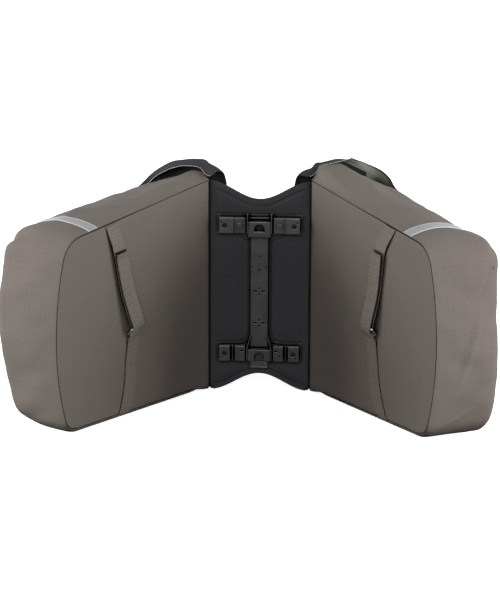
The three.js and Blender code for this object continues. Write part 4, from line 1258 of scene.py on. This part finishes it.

# %% [markdown]
# The inside of a lid is painted dark as shade, apart from a grey-green lining along its upper fold, which
# shows where the right lid's end stands open. A second sheet inside the first would do, but it would have to
# follow every bend, so the wall gets two more finishes on its back instead. The cloth thins towards its sewn
# edges.

# %% Lids
HEM_THICKNESS = 0.8
HEM_RISE = 7  # rows
LINED = 1
# DARK marks the back faces that get the painted shade
DARK = 2
HEM_ROWS = 2
FACING = {"rows": 18, "from": 0.3}
OPEN_END = {"rows": 27, "from": 0.785}


def lid_lined(face):
    """Finish of each face of the lid's back: the facing behind its upper fold is lined, the rest painted
    shade.
    """
    rows, columns = face.shape[0] - 1, face.shape[1] - 1
    lined = np.full((rows, columns), DARK, np.int32)
    for area in (FACING, OPEN_END):
        lined[-area["rows"]:-HEM_ROWS, int(columns * area["from"]):] = LINED
    return lined.ravel()


for side, face in lid_faces.items():
    flat = run_lengths(face)
    from_edge = np.minimum(np.arange(len(face)), np.arange(len(face))[::-1])
    thickness = lerp(HEM_THICKNESS, CLOTH, smoothstep(from_edge, 0, HEM_RISE))[:, None]
    finishes = [lid_cloth, lining, lid_inside_painted_shade]
    lid = bag_wall(f"{side}_lid_cloth", face, thickness, finishes, side, weave=flat, lined=lid_lined(face))
    stand_for(f"{side}_lid")
    size = flat[-1, -1] * MM
    report(lid, f"cut {size[0]:.3f} by {size[1]:.3f} m")

# %% [markdown]
# Sewing is what tells the eye how big cloth is. A stitch is a short thread that dips into the cloth at
# both ends, so one small spindle is copied along a line of points, turned to follow it, and joined into a
# single mesh for each row of sewing. An array modifier along a curve would bend and stretch the spindles.

# %% Stitches
SPINDLE_WAY = np.array([0.0, 0.14, 0.35, 0.65, 0.86, 1.0])
SPINDLE_THICKNESS = np.array([0.35, 0.8, 1.0, 1.0, 0.8, 0.35])
SPINDLE_SIDES = 6
ASKEW = np.array([0.31, 0.52, 0.79])  # no row of sewing runs this way
SEWING = {
    "lid": {"length": 2.6, "gap": 1.5, "radius": 0.42},
    "foot_tack": {"length": 1.6, "gap": -0.2, "radius": 0.5},
    "bar_tack_and_shadow": {"length": 2.2, "gap": -0.4, "radius": 0.85},
    "hem": {"length": 3.2, "gap": 1.0, "radius": 0.35},
}


def spindle_faces():
    """The faces of one spindle: bands between its rings, and its two ends."""
    at = np.arange(len(SPINDLE_WAY) * SPINDLE_SIDES).reshape(-1, SPINDLE_SIDES)
    low, high = at[:-1], at[1:]
    bands = np.stack([low, np.roll(low, -1, 1), np.roll(high, -1, 1), high], -1).reshape(-1, 4)
    return [*bands.tolist(), at[0, ::-1].tolist(), at[-1].tolist()]


def stitches(name, lines, finish, length, gap, radius):
    """Rows of stitches along lines that already lie on the cloth, in metres in the part's frame."""
    turn = np.linspace(0, 2 * np.pi, SPINDLE_SIDES, endpoint=False)[:, None]
    radii = (SPINDLE_THICKNESS * radius * MM)[:, None, None]
    spindles = []
    for line in lines:
        starts = at_lengths(line, np.arange(0, lengths_along(line)[-1], (length + gap) * MM))
        way = unit(np.diff(starts, axis=0))[:, None]
        aside = unit(np.cross(way, ASKEW))
        spokes = np.cos(turn) * aside + np.sin(turn) * np.cross(aside, way)
        centres = starts[:-1, None] + way * (SPINDLE_WAY * length * MM)[:, None]
        spindles.append(centres[:, :, None] + spokes[:, None] * radii)
    points = np.concatenate(spindles).reshape(-1, 3)
    firsts = range(0, len(points), len(SPINDLE_WAY) * SPINDLE_SIDES)
    faces = [[first + k for k in face] for first in firsts for face in spindle_faces()]
    return add_piece(name, points, faces, [finish], np.zeros((len(points), 2)))


print("kinds of sewing:", ", ".join(SEWING))

# %% [markdown]
# Thread is a twisted yarn, so its finish has a fine grain and hardly any gloss. The lids are edged with a
# pale row of stitches, which starts where the lid leaves the bridge. It follows the edge rows of the lid's
# grid, so that it bends wherever the cloth does.

# %% Sewing on the lids
SEWN_FROM = 2.8  # places along the lid's route
THREAD_LIFT = 0.1
TWIST = {"scale": 900.0, "detail": 1.0}
TWIST_RELIEF = 0.1
TWIST_TINTS = (0.8, 1.15)


def sewn_thread(name, colour):
    """Twisted yarn."""
    finish = Finish(name, Roughness=0.8, Specular_IOR_Level=0.1)
    place = finish.node("ShaderNodeTexCoord").output("Object")
    twist = finish.noise(**TWIST, Vector=place)
    finish.surface(Base_Color=finish.colour_between(twist, *(shade(colour, tint) for tint in TWIST_TINTS)))
    finish.relief(twist, TWIST_RELIEF * MM, strength=0.5)
    return finish.material


cream_thread = sewn_thread("cream_thread", (0.60, 0.57, 0.48))
dark_thread = sewn_thread("dark_thread", (0.004, 0.004, 0.004))
for side, face in lid_faces.items():
    lifted = face + THREAD_LIFT * face_normals(face)
    start = int(LID_STEPS * SEWN_FROM / (len(LID_ROUTE) - 1))
    lines = [beside_bridge(lifted[row, start:], side) for row in (-1, 0)]
    report(stitches(f"{side}_lid_stitches", lines, cream_thread, **SEWING["lid"]))

# %% [markdown]
# A small dark tack holds the cloth together at each foot. It is two short rows of overlapping stitches that
# cross in the middle, so it needs only a place on the gusset and two directions. The place is lifted off
# the cloth a little, or the thread would be half hidden in it.

# %% Foot tacks
FOOT_TACKS = {"left": {"along": 0.64, "turn": 0.55}, "right": {"along": 0.622, "turn": 0.16}}
FOOT_TACK_WAYS = np.array([[0, 0, 5], [2, 0, 0]])
FOOT_TACK_LIFT = 0.3
for side, tack in FOOT_TACKS.items():
    column = round(tack["along"] * GUSSET_COLUMNS)
    row = int(np.argmin(np.abs(GUSSET_ROLL[:, 0] - tack["turn"])))
    outward = face_normals(gusset_faces[side])[row, column]
    middle = gusset_faces[side][row, column] + FOOT_TACK_LIFT * outward
    lines = [beside_bridge(middle + np.outer([-0.5, 0.5], way), side) for way in FOOT_TACK_WAYS]
    report(stitches(f"{side}_foot_tack", lines, dark_thread, **SEWING["foot_tack"]))

# %% [markdown]
# A reflective strip is sewn across the upper end of each bag. Tiny glass beads make its surface grainy, and
# its two edges are white. Cells of a Voronoi texture stand for the beads, and the distance from the middle
# of the tape, read from the cloth map, tells the edges apart.

# %% Reflective finish
STRIP_WIDTH = 18
BEAD_SCALE = 1400.0
BEAD_CONTRAST = 1.1
BEAD_TINTS = (1.15, 0.8)
BEAD_RELIEF = 0.08
BEAD_ROUGH = 0.5
EDGE_ROUGH = 0.3  # more than the beads
EDGE_FROM = 0.84
EDGE_SLOPE = 12


def reflective(name, colour, edge_colour):
    """A tape of glass beads with plain edges."""
    finish = Finish(name, Specular_IOR_Level=0.05)
    place = finish.node("ShaderNodeUVMap", {"uv_map": "cloth"})
    beads = finish.node("ShaderNodeTexVoronoi", None, {"Vector": place, "Scale": BEAD_SCALE})
    half = 0.5 * STRIP_WIDTH * MM
    off_middle = abs(finish.split(place).output("X") - half) * (1 / half)
    edge = finish.clamped((off_middle - EDGE_FROM) * EDGE_SLOPE)
    dim = finish.clamped(beads * BEAD_CONTRAST)
    grain = finish.colour_between(dim, *(shade(colour, tint) for tint in BEAD_TINTS))
    finish.surface(Base_Color=finish.colour_between(edge, grain, edge_colour))
    finish.surface(Roughness=BEAD_ROUGH + EDGE_ROUGH * edge)
    finish.relief(beads, BEAD_RELIEF * MM, strength=0.5)
    return finish.material


reflective_tape = reflective("reflective_tape", (0.24, 0.252, 0.264), (0.48, 0.48, 0.47))
print("tape finish:", reflective_tape.name)

# %% [markdown]
# The tape itself follows the gusset underneath. A shrinkwrap modifier could press it on, but the gusset's
# shape is known, so the tape takes its places from the same functions, with the same folds, and lies just
# above it.

# %% Reflective strips
TAPE = 0.8
TAPE_LIFT = 0.25
STRIP_FROM = 0.735
STRIP_COLUMNS = 13


def strip_face(side):
    """The tape's outer face: rows across the bag, columns across the tape."""
    u = STRIP_FROM * REACH[side] + STRIP_WIDTH * np.linspace(1, 0, STRIP_COLUMNS)
    slope = math.hypot(1, END_FALL)
    station = {
        "u": u,
        "z": end_height(u) + upper_rise(u, side),
        "share": 1 - u * slope / SEAM_LENGTH[side],
        "out_u": np.full_like(u, END_FALL / slope),
        "out_z": np.full_like(u, 1 / slope),
    }
    used = GUSSET_ROLL[:, 0] <= ROLL_END / 2
    depth, roll = GUSSET_DEPTH[used], GUSSET_ROLL[used]
    face = gusset_points(station, depth, roll, side)
    across = depth + ROLL_RADIUS * roll
    along = (station["share"] * SEAM_LENGTH[side])[None, :]
    height = cloth_relief(side, along, across) + lip_relief(across)
    return face + face_normals(face) * (height + TAPE + TAPE_LIFT)[..., None]


for side in SIDES:
    face = strip_face(side)
    strip = bag_wall(f"{side}_reflective_tape", face, TAPE, [reflective_tape], side)
    stand_for(f"{side}_reflective_strip")
    length = float(lengths_along(face[:, 0])[-1])
    report(strip, f"cut {length:.0f} mm long")

# %% [markdown]
# A webbing strap hangs from the upper seam to a wire ring, turns round the ring's upper bar and comes back
# up to a free end. A second strap is sewn to the panel and holds the ring from below. Everything about them
# follows from where the ring hangs, so that comes first: its place, its tilt, and the line of the strap
# above it.

# %% Strap places
WEBBING = 1.6
STRAP_WIDTH = 25
FLAT_OFF = WEBBING / 2 + CLEARANCE
RING = {"width": 29.5, "height": 14.5, "wire": 1.4, "corner": 2.2, "low_off": 4}
LOOP_RADIUS = RING["wire"] + CLEARANCE + WEBBING / 2
STRAPS = {
    "left": {"ring_u": 182, "bar": 151.5, "out": 14.5, "loop": 2.5},
    "right": {"ring_u": 168.5, "bar": 155.5, "out": 13, "loop": 9},
}
FREE_ENDS = {
    "left": {"level": 274, "layer": 3.6, "curl": 2.2},
    "right": {"level": 276.5, "layer": 6, "curl": 1.0},
}
# From the upper seam down to the ring: u, height and distance off the panel
STRAP_ROUTE = {
    "left": [(224.3, 320.6, 0.6), (222.6, 316.5, 1.1), (214.5, 292, 4), (209, 274, 3.5), (196, 212, 4.5)],
    "right": [(210, 321.6, 0.6), (206.6, 317.5, 1.1), (191, 294, 2.4), (184, 276, 2), (175.5, 212, 2.5)],
}
ABOVE_BAR = 4
ASIDE_AT_BAR = 0.8
HANG_STEPS = 110
LEAN_STEPS = 24


def strap_hang(side):
    """The strap's under layer from the seam to the ring: rows of u, height and distance off the panel."""
    row = STRAPS[side]
    last = (row["ring_u"] + ASIDE_AT_BAR, row["bar"] + ABOVE_BAR, row["out"] - LOOP_RADIUS)
    return through([*STRAP_ROUTE[side], last], np.linspace(0, 1, HANG_STEPS))


def strap_line(side):
    """The ring's tilt, its lower bar's place along the strap, and the directions along and across it."""
    above, below = strap_hang(side)[[-1 - LEAN_STEPS, -1]]
    lean = math.atan2(above[0] - below[0], above[1] - below[1])
    tilt = math.asin((STRAPS[side]["out"] - RING["low_off"]) / RING["height"])
    way = np.array([math.sin(lean), 0, math.cos(lean)])
    across = np.array([math.cos(lean), 0, -math.sin(lean)])
    return tilt, -RING["height"] * math.cos(tilt), way, across


def strap_points(side, s, off):
    """Places s up the strap from the ring's upper bar, and off the panel."""
    row = STRAPS[side]
    points = np.array([row["ring_u"], 0, row["bar"]]) + np.asarray(s)[:, None] * strap_line(side)[2]
    points[:, 1] = -np.asarray(off)
    return points


print("rings tilt by", {side: round(math.degrees(strap_line(side)[0]), 1) for side in SIDES}, "degrees")

# %% [markdown]
# Webbing is a flat band swept along a line, with its thickness split to both sides. A curve object with a
# flat bevel may twist on its way, so here each point of the line has its own direction across the band. The
# strap's way has three stretches: down to the ring, round its bar, and back up to a slanted, curled end.

# %% Straps
BAND_COLUMNS = 13
LOOP_STEPS = 18
BACK_SHARES = np.linspace(0.06, 1, 60)
CURL_FROM = 0.93
SEAM_TWIST = 25
CUT_SLANT = 0.16
SLANT_FROM = 0.8


def band(name, line, across, side, node):
    """A flat band of webbing along a line, with the direction across it at each point."""
    share = np.linspace(-0.5, 0.5, BAND_COLUMNS)
    face = line[:, None] + (STRAP_WIDTH * share)[None, :, None] * across[:, None]
    face = face + face_normals(face) * WEBBING / 2
    piece = bag_wall(name, face, WEBBING, [webbing], side)
    stand_for(node)
    length = float(lengths_along(line)[-1])
    report(piece, f"cut {length:.0f} mm long")


def strap(side):
    """The upper strap, from the seam round the ring to its free end."""
    row, free_end = STRAPS[side], FREE_ENDS[side]
    u, z, off = strap_hang(side).T
    turn = np.linspace(0, np.pi, LOOP_STEPS)
    loop = strap_points(side, -row["loop"] * np.sin(turn), row["out"] - LOOP_RADIUS * np.cos(turn))
    level = lerp(row["bar"], free_end["level"], BACK_SHARES)
    curl = free_end["curl"] * smoothstep(BACK_SHARES, CURL_FROM, 1)
    gap = lerp(2 * LOOP_RADIUS, free_end["layer"], BACK_SHARES) + curl
    back_u, back_off = (np.interp(level, z[::-1], values[::-1]) for values in (u, off))
    back = np.stack([back_u, -back_off - gap, level], -1)
    line = np.concatenate([np.stack([u, -off, z], -1), loop, back])
    slope = np.interp(line[:, 2], z[::-1], np.gradient(u, z)[::-1])
    across = unit(np.stack([np.ones_like(slope), np.zeros_like(slope), -slope], -1))
    at_seam = smoothstep(z, z[0] - SEAM_TWIST, z[0])[:, None]
    across[:len(z)] = lerp(across[:len(z)], np.array([1, 0, -END_FALL]), at_seam)
    across[-len(back):, 2] += CUT_SLANT * smoothstep(BACK_SHARES, SLANT_FROM, 1)
    band(f"{side}_strap_webbing", line, across, side, f"{side}_strap")


under_layers = {side: round(lengths_along(strap_hang(side))[-1]) for side in SIDES}
print("straps hang from the seam to the ring by", under_layers, "mm")

# %% [markdown]
# The anchor is the lower strap. It is sewn flat to the panel from the lower seam upwards, leaves the panel
# just below the ring, turns round the ring's lower bar and ends behind itself. Its rows are again a table
# and a curve, and the last stretch is worked out from the ring.

# %% Strap anchors
# From the lower seam up towards the ring: u and height
SEWN_ROUTE = {
    "left": [(201.5, 9.5), (199.5, 14), (191.5, 36), (186, 66), (184, 96)],
    "right": [(199.5, 9.5), (196.5, 14), (185, 34), (175.5, 63), (171, 98)],
}
SEWN_DOWN = 0.6  # how much nearer the panel the webbing lies in the seam
SEWN_STEPS = 60
CLIMB_SHARES = np.linspace(0.2, 0.8, 30)
ANCHOR_TWIST = 30
BELOW_BAR = {"leaves": 11, "front": 4, "tail": 6, "tail_end": 12}  # mm under the ring's lower bar


def strap_anchor(side):
    """The lower strap, from the seam round the ring and back to the panel."""
    _, low_bar, _, across = strap_line(side)
    sewn = np.array([(u, -FLAT_OFF, z) for u, z in SEWN_ROUTE[side]])
    sewn[0, 1] += SEWN_DOWN
    flat = through(sewn, np.linspace(0, 1, SEWN_STEPS))
    u, _, z = strap_points(side, [low_bar], [RING["low_off"]])[0]
    front = RING["low_off"] + LOOP_RADIUS
    back = RING["low_off"] - LOOP_RADIUS
    turn = np.linspace(0, np.pi, LOOP_STEPS)
    loop_off = RING["low_off"] + LOOP_RADIUS * np.cos(turn)
    loop = strap_points(side, low_bar + LOOP_RADIUS * np.sin(turn), loop_off)
    rise = np.array([(u, -0.5 * front, z - BELOW_BAR["leaves"]), (u, -front, z - BELOW_BAR["front"])])
    tail = np.array([(u, -back, z - BELOW_BAR["tail"]), (u, -FLAT_OFF, z - BELOW_BAR["tail_end"])])
    climb = through(np.concatenate([flat[-2:], rise, loop[:2]]), CLIMB_SHARES)
    line = np.concatenate([flat[:-1], climb, loop[1:], tail])
    ways = np.gradient(line, axis=0)
    turned = np.stack([ways[:, 2], np.zeros(len(line)), -ways[:, 0]], -1)
    turned[len(flat) - 1:] = across
    turned = unit(turned)
    turned[:, 2] *= smoothstep(line[:, 2], line[0, 2], line[0, 2] + ANCHOR_TWIST)
    band(f"{side}_anchor_webbing", line, turned, side, f"{side}_strap_anchor")


for side in SIDES:
    strap(side)
    strap_anchor(side)

# %% [markdown]
# Dark sewing crosses the strap just above its free end, in two rows on the left strap and one on the right.
# Its near-black thread is also painted shadow for the gap under the curled end. The stitches overlap, which
# makes a bar tack look like one thick ridge of thread. They slant as the cut end does.

# %% Bar tacks
TACK_ROWS = {"left": 2, "right": 1}
TACK = {"above": 1.0, "off": 1.2, "row": 1.2}
for side in SIDES:
    u, z, off = strap_hang(side)[::-1].T
    level = FREE_ENDS[side]["level"] + TACK["above"]
    middle = np.array([np.interp(level, z, u), -np.interp(level, z, off) - TACK["off"], level])
    across = np.array([1, 0, CUT_SLANT - np.interp(level, z, np.gradient(u, z))])
    ends = middle + np.outer(STRAP_WIDTH * np.array([-0.5, 0.5]), across)
    rises = TACK["row"] * np.arange(TACK_ROWS[side])
    lines = [beside_bridge(ends + [0, 0, rise], side) for rise in rises]
    # the near-black tack is also painted shadow under the curled free end
    report(stitches(f"{side}_bar_tack_and_shadow", lines, dark_thread, **SEWING["bar_tack_and_shadow"]))

# %% [markdown]
# Each ring is a rectangle of bent wire with rounded corners. It hangs tilted, with its upper bar in the
# strap and its lower bar in the anchor. The outline is drawn in the ring's own plane and then laid along the
# two directions of that plane, and the tube helper from the piping makes the wire.

# %% Rings
CORNER_STEPS = 9
# Side, end, and the angle at which the corner's arc starts
CORNERS = [(1, -1, -90), (1, 1, 0), (-1, 1, 90), (-1, -1, 180)]


def rounded_rectangle(width, height, corner):
    """Points round a rectangle with rounded corners, in its own plane."""
    arcs = []
    for x, z, start in CORNERS:
        angle = np.radians(start + np.linspace(0, 90, CORNER_STEPS))
        centre = np.array([x * (width / 2 - corner), z * (height / 2 - corner)])
        arcs.append(centre + corner * np.stack([np.cos(angle), np.sin(angle)], -1))
    return np.concatenate(arcs)


outline = rounded_rectangle(RING["width"], RING["height"], RING["corner"])
for side in SIDES:
    tilt, low_bar, way, across = strap_line(side)
    up = way * math.cos(tilt) - np.array([0, math.sin(tilt), 0])
    middle = strap_points(side, [low_bar / 2], [(STRAPS[side]["out"] + RING["low_off"]) / 2])[0]
    line = middle + outline[:, :1] * across + outline[:, 1:] * up
    ring = tube(f"{side}_ring_wire", line, RING["wire"], steel_wire, side, closed=True)
    stand_for(f"{side}_strap_ring")
    report(ring)

# %% [markdown]
# The bridge is padded cloth, scooped out at both ends. Padding swells where nothing holds it, so the face
# rises away from the adapter plate, the hems and the hinge seams. How far a place lies outside the plate's
# I shape is worked out from three rectangles. A pressure simulation would swell the padding evenly instead.

# %% Bridge
BRIDGE_SCOOP = 29
BRIDGE_INSET = 1.2
BRIDGE_COLUMNS = 120
BRIDGE_ROWS = 200
BRIDGE_EDGE = {"turn": 1.6, "run": 2.2}
BRIDGE_PUFF = 2.0
PUFF_FROM_PLATE = (1, 20)
PUFF_FROM_HINGE = (0, 14)
HEM_WIDTH = 10
PUFF_FROM_END = (HEM_WIDTH, HEM_WIDTH + 10)
PLATE_BOXES = [
    {"half_width": 69.5, "low": 264.5, "high": 298.5},
    {"half_width": 69.5, "low": 49.5, "high": 83.5},
    {"half_width": 18.3, "low": 66, "high": 282},
]


def bridge_end(x, upper):
    """Height of the scooped end of the bridge."""
    scoop = BRIDGE_SCOOP * (1 + np.cos(2 * np.pi * x / BRIDGE_WIDTH)) / 2
    return BAG_LENGTH - scoop if upper else BRIDGE_LOW + scoop


def outside_plate(x, z):
    """Distance in mm from the adapter's outline."""
    distances = []
    for box in PLATE_BOXES:
        aside = np.maximum(np.abs(x) - box["half_width"], 0)
        beyond = np.maximum(np.maximum(box["low"] - z, z - box["high"]), 0)
        distances.append(np.hypot(aside, beyond))
    return np.min(distances, axis=0)


def bridge_face():
    """The underside of the bridge, rows up it and columns across it."""
    half = BRIDGE_WIDTH / 2 - BRIDGE_INSET
    x = np.linspace(-half, half, BRIDGE_COLUMNS)[None, :]
    low, high = bridge_end(x, False), bridge_end(x, True)
    x, z = np.broadcast_arrays(x, lerp(low, high, np.linspace(0, 1, BRIDGE_ROWS)[:, None]))
    to_hinge = half - np.abs(x)
    to_end = np.minimum(high - z, z - low)
    puff = BRIDGE_PUFF * smoothstep(outside_plate(x, z), *PUFF_FROM_PLATE)
    puff = puff * smoothstep(to_hinge, *PUFF_FROM_HINGE) * smoothstep(to_end, *PUFF_FROM_END)
    edge = sum(BRIDGE_EDGE["turn"] * np.exp(-off / BRIDGE_EDGE["run"]) for off in (to_hinge, to_end))
    return np.stack([x, edge - puff, z], -1)


bridge = wall("bridge_padding", bridge_face()[:, ::-1], BRIDGE_THICKNESS, [bridge_cloth], on_bridge)
stand_for("bridge_panel")
report(bridge)

# %% [markdown]
# Both scooped ends of the bridge are bound with a hem tape, held by two rows of dark stitches. The tape
# follows the same curve as the bridge's end, so it is a grid of that curve moved inwards step by step. It
# lies on the padding with a small gap.

# %% Bridge hems
HEM_INSET = 6
HEM_POINTS = 121
HEM_COLUMNS = 9
HEM_SEWING_INSET = 2.0
HEM_OFF = -TAPE - CLEARANCE


def hem(name, upper):
    """The tape along one scooped end, and its sewing."""
    inwards = -1 if upper else 1
    half = BRIDGE_WIDTH / 2 - HEM_INSET
    x = np.linspace(-half, half, HEM_POINTS)
    end = bridge_end(x, upper)
    z = end[:, None] + inwards * np.linspace(0, HEM_WIDTH, HEM_COLUMNS)[None, :]
    face = np.stack(np.broadcast_arrays(x[:, None], HEM_OFF, z), -1)
    if upper:
        face = face[:, ::-1]
    tape = wall(f"{name}_hem_tape", face[::-1], TAPE, [black_cloth], on_bridge)
    stand_for(f"bridge_hem_{name}")
    length = float(lengths_along(face[:, 0])[-1])
    report(tape, f"cut {length:.0f} mm long")
    lines = []
    for inset in (HEM_SEWING_INSET, HEM_WIDTH - HEM_SEWING_INSET):
        line = np.stack([x, np.full_like(x, HEM_OFF - THREAD_LIFT), end + inwards * inset], -1)
        lines.append(on_bridge(line))
    report(stitches(f"{name}_hem_stitches", lines, dark_thread, **SEWING["hem"]))


hem("upper", upper=True)
hem("lower", upper=False)

# %% [markdown]
# The carrier adapter is hard plastic: a grey plate with holes and ribs, a darker plate behind it, a latch
# tongue and four screws. The solids already have these shapes, so those nodes stay, and they get the moulded
# finishes.

# %% Adapter finishes
HARD_NODES = {
    "adapter_plate": grey_plastic,
    "backing_plate": black_plastic,
    "latch_tongue": latch_plastic,
    **{f"plate_screw_{k}": grey_plastic for k in (1, 2, 3, 4)},
}
for name, finish in HARD_NODES.items():
    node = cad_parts[name]
    node.data.materials.clear()
    node.data.materials.append(finish)
print("finished nodes:", ", ".join(HARD_NODES))
